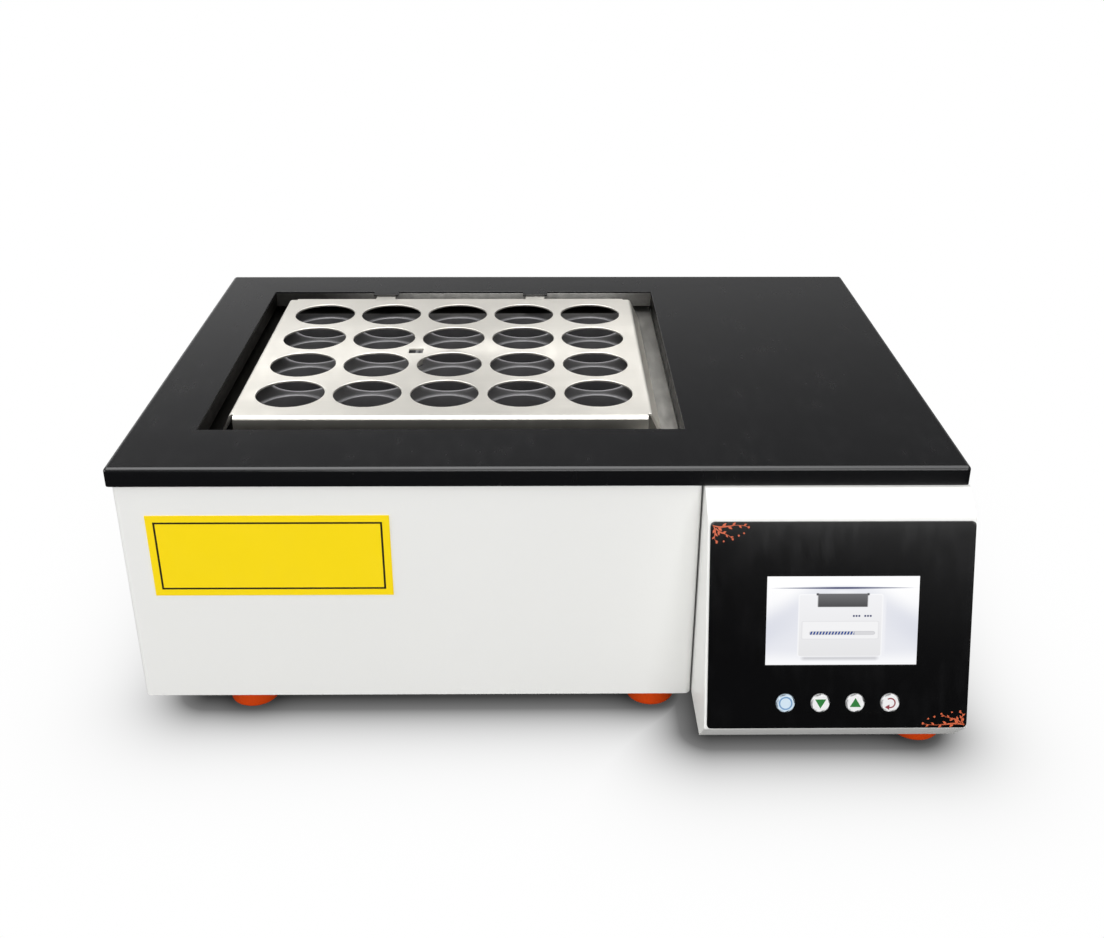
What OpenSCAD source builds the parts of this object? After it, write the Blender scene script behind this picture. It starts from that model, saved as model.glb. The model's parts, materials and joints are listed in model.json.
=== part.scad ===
// Graphite block digester for a bench: twenty heated wells for digestion tubes under a hinged
// guide plate, in a steel body with a black cover, and a control box with a touch panel face.
// Millimetres. +Z is up, +Y is the rear. The origin is on the bench, under the middle of the
// whole footprint.

/* [Wells] */
// Wells from left to right
cols = 5; // [3:1:7]
// Wells from front to rear
rows = 4; // [3:1:6]
// Distance between wells from left to right
pitch_x = 49.6; // [48:0.1:60]
// Distance between wells from front to rear
pitch_y = 50.5; // [48:0.1:60]
// Outer diameter of a digestion tube
tube_d = 42; // [30:0.5:43]
// Room all round a tube in the graphite
well_clear = 0.5; // [0.3:0.1:1]
// Room all round a tube in the guide plate
plate_clear = 1; // [0.6:0.1:1.5]
// Depth of a well
well_depth = 65; // [40:1:75]
// Graphite left under a well
well_floor = 20; // [12:1:30]
// Width of the bevel round a well's mouth
well_bevel = 0.8; // [0.4:0.1:1.2]

/* [Guide plate] */
// Thickness of the stainless guide plate
plate_t = 1.5; // [1:0.1:2]
// Plate left outside the outer holes, at each side
plate_margin_x = 9.8; // [8:0.1:20]
// Plate left in front of the front holes
plate_front = 15.3; // [11:0.1:24]
// Plate left behind the rear holes
plate_rear = 13.4; // [11:0.1:24]
// Radius on the outside of the plate's folds
fold_r = 2.6; // [2:0.1:4]
// Lean of the side flanges from upright, in degrees
flange_lean = 26; // [0:1:30]
// Notch between the flanges at each corner
corner_notch = 2.2; // [1:0.1:5]
// Width of the slot in the middle of the plate
slot_w = 10; // [7:0.5:12]
// Depth of the slot in the middle of the plate, front to rear
slot_d = 9.4; // [7:0.5:10]
// Width of a hinge tab at the rear of the plate
tab_w = 14.5; // [8:0.5:17]
// Reach of a hinge tab under its tongue
tab_lap = 4.5; // [3:0.5:7]
// Distance of each hinge tab from the plate's middle
tab_x = 58; // [30:1:90]

/* [Cover] */
// Thickness of the black cover sheet
cover_t = 1.5; // [1:0.1:2]
// Height of the cover's folded edge
cover_h = 11.5; // [9:0.5:16]
// Radius of the cover's edges and corners
cover_r = 2.5; // [2:0.5:6]
// Overhang of the cover past the body at the left
overhang_side = 2.5; // [2:0.5:8]
// Overhang of the cover past the body at front and rear
overhang_end = 2; // [2:0.5:6]
// Room in the opening left of the guide plate
gap_left = 13.75; // [12:0.25:25]
// Room in the opening right of the guide plate
gap_right = 17.75; // [12:0.25:25]
// Room in the opening in front of the guide plate
gap_front = 22.5; // [16:0.5:30]
// Room in the opening behind the guide plate
gap_rear = 12.3; // [10:0.1:18]
// Length of a tongue over a hinge tab
tongue_l = 7; // [6:0.5:9]
// Width of a tongue over a hinge tab
tongue_w = 19; // [16:0.5:30]
// Thickness of the bright collar round the opening
collar_t = 1; // [0.6:0.1:1.5]
// How far down the collar reaches from the top of the cover
collar_drop = 12; // [8:0.5:14]
// Width of the collar's flange under the cover
collar_flange = 3; // [2:0.5:4]

/* [Body] */
// Body left of the opening
rim_left = 38.25; // [30:0.25:80]
// Body right of the opening
rim_right = 5.75; // [5.25:0.25:40]
// Body in front of the opening
rim_front = 51; // [44:0.5:90]
// Body behind the opening
rim_rear = 37; // [32:0.5:80]
// Thickness of the white steel sheet
wall = 1.2; // [0.8:0.1:2]
// Radius of the body's upright corners
body_r = 4; // [2:0.5:8]
// Width of the body's folded lips at the bottom
lip_w = 42; // [38:1:60]
// Thickness of the base plate
base_t = 1.5; // [1:0.1:3]
// Gap between the body and the control box
seam = 0.8; // [0.5:0.1:2]

/* [Heat well] */
// How far the graphite lies under the top of the cover
block_drop = 12; // [11:0.5:15]
// How far the ledge lies under the top of the cover
ledge_drop = 17; // [16:0.5:24]
// Graphite set in from the guide plate's edge at each side
block_inset_x = 3; // [2:0.5:5]
// Graphite set in from the guide plate's edge at front and rear
block_inset_y = 5; // [4:0.5:7]
// Thickness of the heater plate
heater_t = 16; // [14:0.5:24]
// Number of cartridge heaters
heaters = 4; // [2:1:6]
// Diameter of a cartridge heater
heater_d = 10; // [6:0.5:11]
// Thickness of the insulation under the heater plate
insulation_t = 26; // [18:1:40]
// Thickness of the steel casing round the insulation
casing_t = 1; // [0.8:0.1:1.5]
// Air between the casing and the body at the left
air_left = 22; // [10:0.5:28]
// Air between the casing and the body at the right
air_right = 4; // [3:0.5:4.5]
// Air between the casing and the body at the front
air_front = 26; // [22:1:34]
// Air between the casing and the body at the rear
air_rear = 14; // [10:1:22]
// Height of the casing's legs
leg_h = 14.8; // [12:0.1:30]
// Width across a support pillar under the heater plate
pillar_d = 14; // [10:1:20]

/* [Feet] */
// Height of a rubber foot
foot_h = 10.5; // [9:0.5:30]
// Diameter of a foot at the top
foot_top_d = 32; // [22:0.5:34]
// Diameter of a foot on the bench
foot_base_d = 30; // [14:0.5:32]
// Thickness of the black washer on a foot
washer_t = 1.5; // [1:0.1:3]
// Distance of the front and rear feet from the body's ends
foot_in_y = 18.5; // [18:0.5:32]
// Distance of the left feet from the body's left side
foot_in_left = 63.5; // [24:0.5:90]
// Distance of the middle feet from the body's right side
foot_in_mid = 23.7; // [19:0.1:32]

/* [Control box] */
// Width of the control box
box_w = 151.2; // [146:0.1:200]
// How far the top front edge stands ahead of the cover
lip_out = 2; // [0.5:0.5:4]
// How far the fold above the panel stands ahead of the cover
brow_out = 18.4; // [12:0.1:30]
// How far the panel's lower end stands ahead of the cover
chin_out = 56; // [46:0.5:70]
// How far the bottom front edge stands ahead of the cover
toe_out = 39; // [32:0.5:44]
// Drop from the box's top to the fold above the panel
brow_drop = 9.8; // [8:0.1:20]
// Height of the slanted chin above the box's bottom
chin_h = 17.5; // [10:0.5:24]
// Radius of the fold above the panel
brow_r = 6; // [2:0.5:6]
// Radius of the other folds in the box's front
box_fold_r = 2; // [1:0.5:3]
// Width of the folded lips at the box's top and rear
box_lip = 10; // [8:0.5:14]
// Distance of the right feet from the box's right side
foot_in_right = 16.5; // [16.5:0.5:40]
// Distance of the front right foot from the chin
foot_in_chin = 40; // [38:0.5:60]

/* [Control panel] */
// Thickness of the black panel
panel_t = 1; // [0.8:0.1:2]
// Box face left bare above the black panel
panel_top = 2.9; // [2.6:0.1:6]
// Box face left bare below the black panel
panel_foot = 0.6; // [0.4:0.1:6]
// Width of the black panel
panel_w = 149.5; // [142:0.5:151]
// Radius of the panel's corners
panel_r = 2.5; // [1:0.5:6]
// Panel shifted right of the box's middle
panel_shift = 0.6; // [0:0.1:0.7]
// Width of the display
display_w = 86.4; // [70:0.1:95]
// Height of the display
display_h = 51.8; // [40:0.1:54]
// Panel above the display
display_top = 31.4; // [26:0.1:34]
// Panel between the display and the middle of the keys
display_to_keys = 22.5; // [21:0.1:24]
// Number of keys
keys = 4; // [4]
// Distance between keys
key_pitch = 20; // [17:0.1:24]
// Diameter of a key
key_d = 10.6; // [8:0.1:12]
// How far a key stands out of the panel
key_proud = 0.9; // [0.6:0.1:2]
// How far a key travels
key_travel = 0.8; // [0.4:0.1:1.2]
// Gap round a key
key_gap = 0.3; // [0.2:0.05:0.5]
// Width of a key's retaining flange outside its hole
key_flange = 1; // [0.8:0.1:1.4]

/* [Label plate] */
// Width of the plain yellow plate
label_w = 140.8; // [60:0.5:160]
// Height of the plain yellow plate
label_h = 53.6; // [30:0.5:80]
// Thickness of the plain yellow plate
label_t = 0.5; // [0.3:0.1:1]
// Distance of the plate from the body's left side
label_in = 16.5; // [6:0.5:30]
// Distance of the plate under the cover's edge
label_drop = 19.5; // [6:0.5:40]

/* [Power and electronics] */
// Width of the mains inlet's flange
inlet_w = 50; // [46:1:60]
// Height of the mains inlet's flange
inlet_h = 30; // [28:1:36]
// Depth of the mains inlet's body
inlet_l = 30; // [24:1:34]
// Width of the switch frame
switch_w = 22; // [20:1:26]
// Height of the switch frame
switch_h = 30; // [28:1:36]
// Swing of the rocker from one side to the other, in degrees
rocker_swing = 18; // [10:1:20]
// Thickness of a circuit board
board_t = 1.6; // [1:0.2:2]

/* [Hidden] */
$fn = 48;

// Small clearances: between bodies that move, and in a hole that a still part passes
run_gap = 0.3;
axle_gap = 0.05;
// Adhesive film between the box and the black panel
panel_film = 0.02;
slip_gap = 0.2;
// Overlap of a cutting shape past the surface that it cuts
cut = 1;
full_turn = 360;

// Sheet screws: thread, head and how far they go in
screw_d = 4;
screw_head_d = 7.4;
screw_head_h = 1.6;
screw_l = 9;

// Heights, from the bench up
body_z = foot_h + washer_t;
base_z = body_z + wall;
leg_z = base_z + base_t;
casing_z = leg_z + leg_h;
insulation_z = casing_z + casing_t;
heater_z = insulation_z + insulation_t;
block_z = heater_z + heater_t;
block_h = well_depth + well_floor;
block_top = block_z + block_h;
cover_z = block_top + block_drop;
cover_under = cover_z - cover_t;
skirt_z = cover_z - cover_h;
ledge_z = cover_z - ledge_drop;
collar_z = cover_z - collar_drop;
plate_z = cover_under - run_gap;
// The body's front and rear walls stop under the curve of the cover's folds
body_rim_z = cover_under - (cover_r - cover_t);

// Plan sizes, from the wells outwards
plate_hole_d = tube_d + 2 * plate_clear;
well_d = tube_d + 2 * well_clear;
plate_w = (cols - 1) * pitch_x + plate_hole_d + 2 * plate_margin_x;
plate_d = (rows - 1) * pitch_y + plate_hole_d + plate_front + plate_rear;
block_d = plate_d - 2 * block_inset_y;
opening_w = plate_w + gap_left + gap_right;
opening_d = plate_d + gap_front + gap_rear;
body_w = rim_left + opening_w + rim_right;
body_d = rim_front + opening_d + rim_rear;
cover_w = overhang_side + body_w + seam + box_w;
cover_d = body_d + 2 * overhang_end;

// Places in plan
cover_x0 = -cover_w / 2;
cover_x1 = cover_w / 2;
cover_y0 = (chin_out + panel_t - cover_d) / 2;
cover_y1 = cover_y0 + cover_d;
body_x0 = cover_x0 + overhang_side;
body_x1 = body_x0 + body_w;
body_y0 = cover_y0 + overhang_end;
body_y1 = body_y0 + body_d;
in_x0 = body_x0 + wall;
in_x1 = body_x1 - wall;
in_y0 = body_y0 + wall;
in_y1 = body_y1 - wall;
box_x0 = body_x1 + seam;
box_x1 = cover_x1;
box_in_x0 = box_x0 + wall;
box_in_x1 = box_x1 - wall;
opening_lo = [body_x0 + rim_left, body_y0 + rim_front];
opening_hi = [body_x1 - rim_right, body_y1 - rim_rear];
plate_x0 = opening_lo.x + gap_left;
plate_x1 = plate_x0 + plate_w;
plate_y0 = opening_lo.y + gap_front;
plate_y1 = plate_y0 + plate_d;
well_x = (plate_x0 + plate_x1) / 2;
well_y = plate_y0 + plate_front + plate_hole_d / 2 + (rows - 1) * pitch_y / 2;
// The probe stands where two webs between wells cross, left of the middle well or row of wells
probe_x = well_x - (cols % 2) * pitch_x / 2;
probe_y = well_y - (rows % 2) * pitch_y / 2;

// Heat well, from the body's walls inwards
casing_x0 = in_x0 + air_left;
casing_x1 = in_x1 - air_right;
casing_y0 = in_y0 + air_front;
casing_y1 = in_y1 - air_rear;
block_lo = [plate_x0 + block_inset_x, plate_y0 + block_inset_y];
block_hi = [plate_x1 - block_inset_x, plate_y1 - block_inset_y];
block_gap = 0.5;

// Hinge of the guide plate, on the lower front edge of the tongues
hinge_y = opening_hi.y - tongue_l;
tab_y1 = hinge_y + tab_lap;

// Outline points of the control box's side: [y, z], from the top rear, forwards and round
box_side = [
  [body_y1, skirt_z],
  [cover_y0 - lip_out, skirt_z],
  [cover_y0 - brow_out, skirt_z - brow_drop],
  [cover_y0 - chin_out, body_z + chin_h],
  [cover_y0 - toe_out, body_z],
  [body_y1, body_z]];
box_side_r = [0, box_fold_r, brow_r, box_fold_r, box_fold_r, 0];

// Control panel: its own flat frame has its origin at the upper end of the slope, x to the
// right, y up the slope and z out of the panel
slope_top = box_side[2];
slope_end = box_side[3];
slope_l = norm(slope_top - slope_end);
slope_tilt = atan2(slope_top.y - slope_end.y, slope_top.x - slope_end.x);
panel_x = (box_x0 + box_x1) / 2 + panel_shift;
panel_l = slope_l - panel_top - panel_foot;
display_y = -panel_top - display_top - display_h / 2;
display_shift = 1;
keys_y = display_y - display_h / 2 - display_to_keys;
key_flange_t = 1.5;
key_stem_d = 4;
key_stem_l = 3;
key_back = wall + run_gap + key_flange_t + key_stem_l;
switch_pip_h = 1;
switch_pip_d = 3.5;
switch_body_h = 3.5;
switch_side = 6;
key_board_z = -(key_back + key_travel + run_gap + switch_pip_h + switch_body_h);
key_board_past = 15;
key_board_l = (keys - 1) * key_pitch + 2 * key_board_past;
key_board_w = 19;
lcd_t = 4.8;
lcd_rim = 4;
lcd_plug = [32, 8, 6];
display_board_past = [12.5, 6];
display_board_w = display_w + 2 * display_board_past.x;
display_board_h = display_h + 2 * display_board_past.y;
stud_d = 5;

// Parts on the floor of the control box, from front to rear
floor_z = body_z + wall;
standoff_h = 9;
board_w = 104;
board_d = 96;
board_y0 = cover_y0 - 3;
sink_d = 70;
sink_gap = 12;
sink_y0 = board_y0 + board_d + sink_gap;
supply_w = 97;
supply_d = 98;
supply_h = 34;
supply_y0 = sink_y0 + sink_d + sink_gap;
inlet_in = 48;
inlet_up = 62;
inlet_to_switch = 56;
inlet_x = box_x0 + inlet_in;
inlet_z = body_z + inlet_up;
switch_x = inlet_x + inlet_to_switch;

// Pieces that join the body and the control box
grommet_d = 22;
grommet_up = 26;
grommet_y = block_lo.y;
grommet_z = leg_z + grommet_up;
bolt_in = 60;
bolt_up = 40;
bolt_down = 28;
bolt_rows = [body_y0 + bolt_in, body_y1 - bolt_in];
bolt_heights = [body_z + bolt_up, skirt_z - bolt_down];

// Feet: [x, y] for each of the six, front row first
foot_y_front = body_y0 + foot_in_y;
foot_y_rear = body_y1 - foot_in_y;
foot_x = [body_x0 + foot_in_left, body_x1 - foot_in_mid, box_x1 - foot_in_right];
foot_y_chin = cover_y0 - chin_out + foot_in_chin;
feet = [for (x = foot_x) [x, x == foot_x[2] ? foot_y_chin : foot_y_front],
        for (x = foot_x) [x, foot_y_rear]];
foot_screw_d = 5;
foot_screw_head_d = 9;
foot_screw_head_h = 4;
foot_sink = 6.5;

// ---- Small helpers ----

function unit(v) = v / norm(v);
function turn_left(v) = [-v.y, v.x];

// Arc of radius r that rounds corner b between its neighbours a and c
function corner_arc(a, b, c, r, steps = 4) =
  r <= 0 ? [b] :
  let (u = unit(a - b), v = unit(c - b), half = acos(u * v) / 2,
       centre = b + unit(u + v) * r / sin(half),
       first = b + u * r / tan(half) - centre,
       last = b + v * r / tan(half) - centre,
       start = atan2(first.y, first.x),
       sweep = (atan2(last.y, last.x) - start + 1.5 * full_turn) % full_turn - full_turn / 2)
  [for (i = [0:steps]) centre + r * [cos(start + sweep * i / steps), sin(start + sweep * i / steps)]];

// Outline with each corner rounded by its own radius
function rounded(pts, radii) =
  let (n = len(pts))
  [for (i = [0:n - 1]) each corner_arc(pts[(i + n - 1) % n], pts[i], pts[(i + 1) % n], radii[i])];

// Outline moved inwards by t, for points that run anticlockwise
function inset(pts, t) =
  let (n = len(pts))
  [for (i = [0:n - 1])
    let (n1 = turn_left(unit(pts[i] - pts[(i + n - 1) % n])),
         n2 = turn_left(unit(pts[(i + 1) % n] - pts[i])))
    pts[i] + t * (n1 + n2) / (1 + n1 * n2)];

function rect_points(lo, hi) = [lo, [hi.x, lo.y], hi, [lo.x, hi.y]];

// Box between two corners
module box(lo, hi) {
  translate(lo) cube(hi - lo);
}

// Upright prism on a rounded rectangle
module slab(lo, hi, r) {
  translate([0, 0, lo.z]) linear_extrude(hi.z - lo.z)
    polygon(rounded(rect_points([lo.x, lo.y], [hi.x, hi.y]), [r, r, r, r]));
}

// Prism along X on an outline of [y, z] points
module prism_x(x0, x1, pts) {
  translate([x0, 0, 0]) rotate([90, 0, 90]) linear_extrude(x1 - x0) polygon(pts);
}

// Prism along Y on an outline of [x, z] points
module prism_y(y0, y1, pts) {
  translate([0, y1, 0]) rotate([90, 0, 0]) linear_extrude(y1 - y0) polygon(pts);
}

// Rod along Y
module rod_y(x, y0, y1, z, d) {
  translate([x, y1, z]) rotate([90, 0, 0]) cylinder(h = y1 - y0, d = d);
}

// Rod along X
module rod_x(x0, x1, y, z, d) {
  translate([x0, y, z]) rotate([0, 90, 0]) cylinder(h = x1 - x0, d = d);
}

// Pan-head screw whose head rests on z = 0, thread pointing down
module screw(length, d = screw_d, head_d = screw_head_d, head_h = screw_head_h) {
  cylinder(h = head_h, d = head_d);
  translate([0, 0, -length]) cylinder(h = length, d = d);
}

module at_wells() {
  for (i = [0:cols - 1], j = [0:rows - 1])
    translate([well_x + (i - (cols - 1) / 2) * pitch_x, well_y + (j - (rows - 1) / 2) * pitch_y, 0])
      children();
}

module at_feet() {
  for (p = feet) translate([p.x, p.y, 0]) children();
}

module on_panel() {
  translate([panel_x, slope_top.x, slope_top.y]) rotate([slope_tilt, 0, 0]) children();
}

function key_x(i) = (i - (keys - 1) / 2) * key_pitch;

// ---- Cover and guide plate ----

// Block with rounded upper edges and corners, open to cutting from below
module soft_block(lo, hi, r) {
  hull() {
    for (x = [lo.x + r, hi.x - r], y = [lo.y + r, hi.y - r]) {
      translate([x, y, lo.z]) cylinder(h = hi.z - r - lo.z, r = r, $fn = 32);
      translate([x, y, hi.z - r]) sphere(r = r, $fn = 32);
    }
    box([lo.x + r, lo.y + r, lo.z], [hi.x - r, hi.y - r, hi.z]);
  }
}

module tongues() {
  for (side = [-1, 1])
    box([well_x + side * tab_x - tongue_w / 2, hinge_y, cover_under - cut],
        [well_x + side * tab_x + tongue_w / 2, opening_hi.y + cut, cover_z + cut]);
}

module top_cover() color([0.12, 0.12, 0.13])
  difference() {
    soft_block([cover_x0, cover_y0, skirt_z], [cover_x1, cover_y1, cover_z], cover_r);
    soft_block([cover_x0 + cover_t, cover_y0 + cover_t, skirt_z - cut],
               [cover_x1 - cover_t, cover_y1 - cover_t, cover_under], cover_r - cover_t);
    difference() {
      box([opening_lo.x, opening_lo.y, cover_under - cut],
          [opening_hi.x, opening_hi.y, cover_z + cut]);
      tongues();
    }
    for (x = cover_screw_x)
      translate([x, cover_y1, cover_screw_z]) rotate([90, 0, 0]) countersink();
  }

// Countersunk hole through the cover's folded edge, narrowing away from z = 0
module countersink() {
  translate([0, 0, -cut])
    cylinder(h = cover_t + 2 * cut, d1 = cover_screw_head_d + 2 * cut * sink_slope,
      d2 = cover_screw_d - 2 * cut * sink_slope);
}

cover_screw_d = 3;
cover_screw_head_d = 5;
sink_slope = (cover_screw_head_d - cover_screw_d) / 2 / cover_t;
cover_screw_z = (skirt_z + body_rim_z) / 2;
cover_screw_in = 40;
cover_screw_l = 7;
cover_screw_x = [body_x0 + cover_screw_in, well_x, body_x1 - cover_screw_in];

module opening_collar() color([0.82, 0.82, 0.8])
  difference() {
    union() {
      round_opening(collar_t, collar_z, cover_under);
      round_opening(collar_t + collar_flange, cover_under - collar_t, cover_under);
    }
    round_opening(0, collar_z - cut, cover_under + cut);
  }

// Block over the opening's plan, larger by grow at each side
module round_opening(grow, z0, z1)
  box([opening_lo.x - grow, opening_lo.y - grow, z0], [opening_hi.x + grow, opening_hi.y + grow, z1]);

// Flanges stop just short of the ledge that the plate rests on
flange_z = ledge_z + run_gap;
flange_h = plate_z - flange_z;
flange_out = flange_h * tan(flange_lean);

// Section across the plate: flat sheet with both leaning side flanges
flange_foot = plate_t / cos(flange_lean);
plate_under = plate_z - plate_t;
flange_in = plate_t * (1 / cos(flange_lean) - tan(flange_lean));

module side_flange(side)
  prism_y(plate_y0 + fold_r + corner_notch, plate_y1 - corner_notch, rounded(
    side < 0 ?
      [[plate_x0 - flange_out, flange_z], [plate_x0 - flange_out + flange_foot, flange_z],
       [plate_x0 + flange_in, plate_under], [plate_x0 + 2 * fold_r, plate_under],
       [plate_x0 + 2 * fold_r, plate_z], [plate_x0, plate_z]] :
      [[plate_x1 + flange_out, flange_z], [plate_x1, plate_z], [plate_x1 - 2 * fold_r, plate_z],
       [plate_x1 - 2 * fold_r, plate_under], [plate_x1 - flange_in, plate_under],
       [plate_x1 + flange_out - flange_foot, flange_z]],
    side < 0 ? [0, 0, fold_r - plate_t, 0, 0, fold_r] : [0, fold_r, 0, 0, fold_r - plate_t, 0]));

module front_flange()
  prism_x(plate_x0 + corner_notch, plate_x1 - corner_notch, rounded(
    [[plate_y0, flange_z], [plate_y0 + plate_t, flange_z], [plate_y0 + plate_t, plate_under],
     [plate_y0 + 2 * fold_r, plate_under], [plate_y0 + 2 * fold_r, plate_z], [plate_y0, plate_z]],
    [0, 0, fold_r - plate_t, 0, 0, fold_r]));

module guide_plate() color([0.8, 0.8, 0.78])
  difference() {
    union() {
      box([plate_x0 + 2 * fold_r, plate_y0 + 2 * fold_r, plate_under],
          [plate_x1 - 2 * fold_r, plate_y1, plate_z]);
      front_flange();
      side_flange(-1);
      side_flange(1);
      for (side = [-1, 1])
        box([well_x + side * tab_x - tab_w / 2, plate_y1 - cut, plate_under],
            [well_x + side * tab_x + tab_w / 2, tab_y1, plate_z]);
    }
    at_wells() translate([0, 0, plate_under - cut]) cylinder(h = plate_t + 2 * cut, d = plate_hole_d);
    box([probe_x - slot_w / 2, probe_y - slot_d / 2, plate_under - cut],
        [probe_x + slot_w / 2, probe_y + slot_d / 2, plate_z + cut]);
  }

// ---- Heat well ----

probe_d = 6;
probe_l = 48;
probe_head_d = 9;
probe_head_h = 4;
probe_tip_d = 4;
probe_tip_h = 2;
heater_pitch = block_d / heaters;

module graphite_block() color([0.3, 0.3, 0.31])
  difference() {
    box([block_lo.x, block_lo.y, block_z], [block_hi.x, block_hi.y, block_top]);
    at_wells() {
      translate([0, 0, block_top - well_depth]) cylinder(h = well_depth + cut, d = well_d);
      translate([0, 0, block_top - well_bevel])
        cylinder(h = well_bevel + cut, d1 = well_d, d2 = well_d + 2 * (well_bevel + cut));
    }
    translate([probe_x, probe_y, block_top - probe_l - slip_gap])
      cylinder(h = probe_l + slip_gap + cut, d = probe_d + 2 * slip_gap);
  }

module temperature_probe() color([0.75, 0.75, 0.74])
  translate([probe_x, probe_y, block_top]) {
    translate([0, 0, -probe_l]) cylinder(h = probe_l, d = probe_d);
    cylinder(h = probe_head_h, d = probe_head_d, $fn = 6);
    translate([0, 0, probe_head_h]) cylinder(h = probe_tip_h, d = probe_tip_d);
  }

module ledge_frame() color([0.72, 0.72, 0.7])
  difference() {
    box([casing_x0, casing_y0, ledge_z - plate_t], [casing_x1, casing_y1, ledge_z]);
    box([block_lo.x - block_gap, block_lo.y - block_gap, ledge_z - plate_t - cut],
        [block_hi.x + block_gap, block_hi.y + block_gap, ledge_z + cut]);
  }

module heater_holes(d, y0, y1)
  for (i = [0:heaters - 1])
    rod_x(y0, y1, block_lo.y + (i + 0.5) * heater_pitch, heater_z + heater_t / 2, d);

heater_in = 3;
heater_lead_d = 4;
heater_lead_l = 4;

module well_casing() color([0.66, 0.67, 0.68])
  difference() {
    box([casing_x0, casing_y0, casing_z], [casing_x1, casing_y1, ledge_z - plate_t]);
    box([casing_x0 + casing_t, casing_y0 + casing_t, insulation_z],
        [casing_x1 - casing_t, casing_y1 - casing_t, ledge_z]);
    heater_holes(heater_lead_d + 2 * slip_gap, casing_x0 - cut, casing_x0 + casing_t + cut);
  }

leg_d = 12;
leg_in = 30;

module casing_legs() color([0.7, 0.7, 0.72])
  for (x = [casing_x0 + leg_in, casing_x1 - leg_in], y = [casing_y0 + leg_in, casing_y1 - leg_in])
    translate([x, y, leg_z]) cylinder(h = leg_h, d = leg_d, $fn = 6);

pillar_in = 24;

module at_pillars()
  for (x = [block_lo.x + pillar_in, block_hi.x - pillar_in],
       y = [block_lo.y + pillar_in, block_hi.y - pillar_in])
    translate([x, y, insulation_z]) children();

module support_pillars() color([0.9, 0.88, 0.82])
  at_pillars() cylinder(h = insulation_t, d = pillar_d);

module heater_plate() color([0.7, 0.71, 0.73])
  difference() {
    box([block_lo.x, block_lo.y, heater_z], [block_hi.x, block_hi.y, block_z]);
    heater_holes(heater_d + slip_gap, block_lo.x - cut, block_hi.x + cut);
  }

module cartridge_heaters() color([0.6, 0.58, 0.55])
  for (i = [0:heaters - 1]) {
    y = block_lo.y + (i + 0.5) * heater_pitch;
    z = heater_z + heater_t / 2;
    rod_x(block_lo.x + heater_in, block_hi.x - heater_in, y, z, heater_d);
    rod_x(casing_x0 - heater_lead_l, block_lo.x + heater_in, y, z, heater_lead_d);
  }

terminal_t = 14;
terminal_h = 26;
terminal_past = 14;

module heater_terminals() color([0.92, 0.9, 0.85])
  difference() {
    box([casing_x0 - terminal_t, block_lo.y + heater_pitch / 2 - terminal_past,
         heater_z + heater_t / 2 - terminal_h / 2],
        [casing_x0, block_hi.y - heater_pitch / 2 + terminal_past, heater_z + heater_t / 2 + terminal_h / 2]);
    heater_holes(heater_lead_d + 2 * slip_gap, casing_x0 - heater_lead_l - slip_gap, casing_x0 + cut);
  }

thermostat_d = 18;
thermostat_t = 9;
thermostat_up = 24;
thermostat_ears = [24, 1, 8];
thermostat_blade = [6, 7, 0.8];
blade_place = 5;
blade_root = 0.5;

// Round thermostat on the casing's front, with fixing ears and two flat blades for its wires
module safety_thermostat() color([0.85, 0.82, 0.75])
  translate([well_x, casing_y0, block_z + thermostat_up]) {
    rod_y(0, -thermostat_t, 0, 0, thermostat_d);
    translate([-thermostat_ears.x / 2, -thermostat_ears.y, -thermostat_ears.z / 2]) cube(thermostat_ears);
    for (side = [-1, 1])
      translate([side * blade_place - thermostat_blade.x / 2, -thermostat_t + blade_root - thermostat_blade.y,
                 -thermostat_blade.z / 2])
        cube(thermostat_blade);
  }

insulation_lo = [casing_x0 + casing_t, casing_y0 + casing_t];
insulation_hi = [casing_x1 - casing_t, casing_y1 - casing_t];
insulation_top = ledge_z - plate_t;

module insulation_base() color([0.93, 0.91, 0.85])
  difference() {
    box([insulation_lo.x, insulation_lo.y, insulation_z], [insulation_hi.x, insulation_hi.y, heater_z]);
    at_pillars() translate([0, 0, -cut]) cylinder(h = insulation_t + 2 * cut, d = pillar_d + 2 * slip_gap);
  }

module insulation_front() color([0.93, 0.91, 0.85])
  box([insulation_lo.x, insulation_lo.y, heater_z], [insulation_hi.x, block_lo.y - block_gap, insulation_top]);

module insulation_rear() color([0.93, 0.91, 0.85])
  box([insulation_lo.x, block_hi.y + block_gap, heater_z], [insulation_hi.x, insulation_hi.y, insulation_top]);

module insulation_left() color([0.93, 0.91, 0.85])
  difference() {
    box([insulation_lo.x, block_lo.y - block_gap, heater_z],
        [block_lo.x - block_gap, block_hi.y + block_gap, insulation_top]);
    heater_holes(heater_lead_d + 2 * slip_gap, insulation_lo.x - cut, block_lo.x + cut);
  }

module insulation_right() color([0.93, 0.91, 0.85])
  box([block_hi.x + block_gap, block_lo.y - block_gap, heater_z],
      [insulation_hi.x, block_hi.y + block_gap, insulation_top]);

// ---- Body ----

rear_flange_w = 12;
rear_lip_y = in_y1 - wall;
base_screw_in = 30;
base_screw_in_y = 120;

module bolt_holes(x0, x1)
  for (y = bolt_rows, z = bolt_heights) rod_x(x0, x1, y, z, screw_d + 2 * slip_gap);

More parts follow.
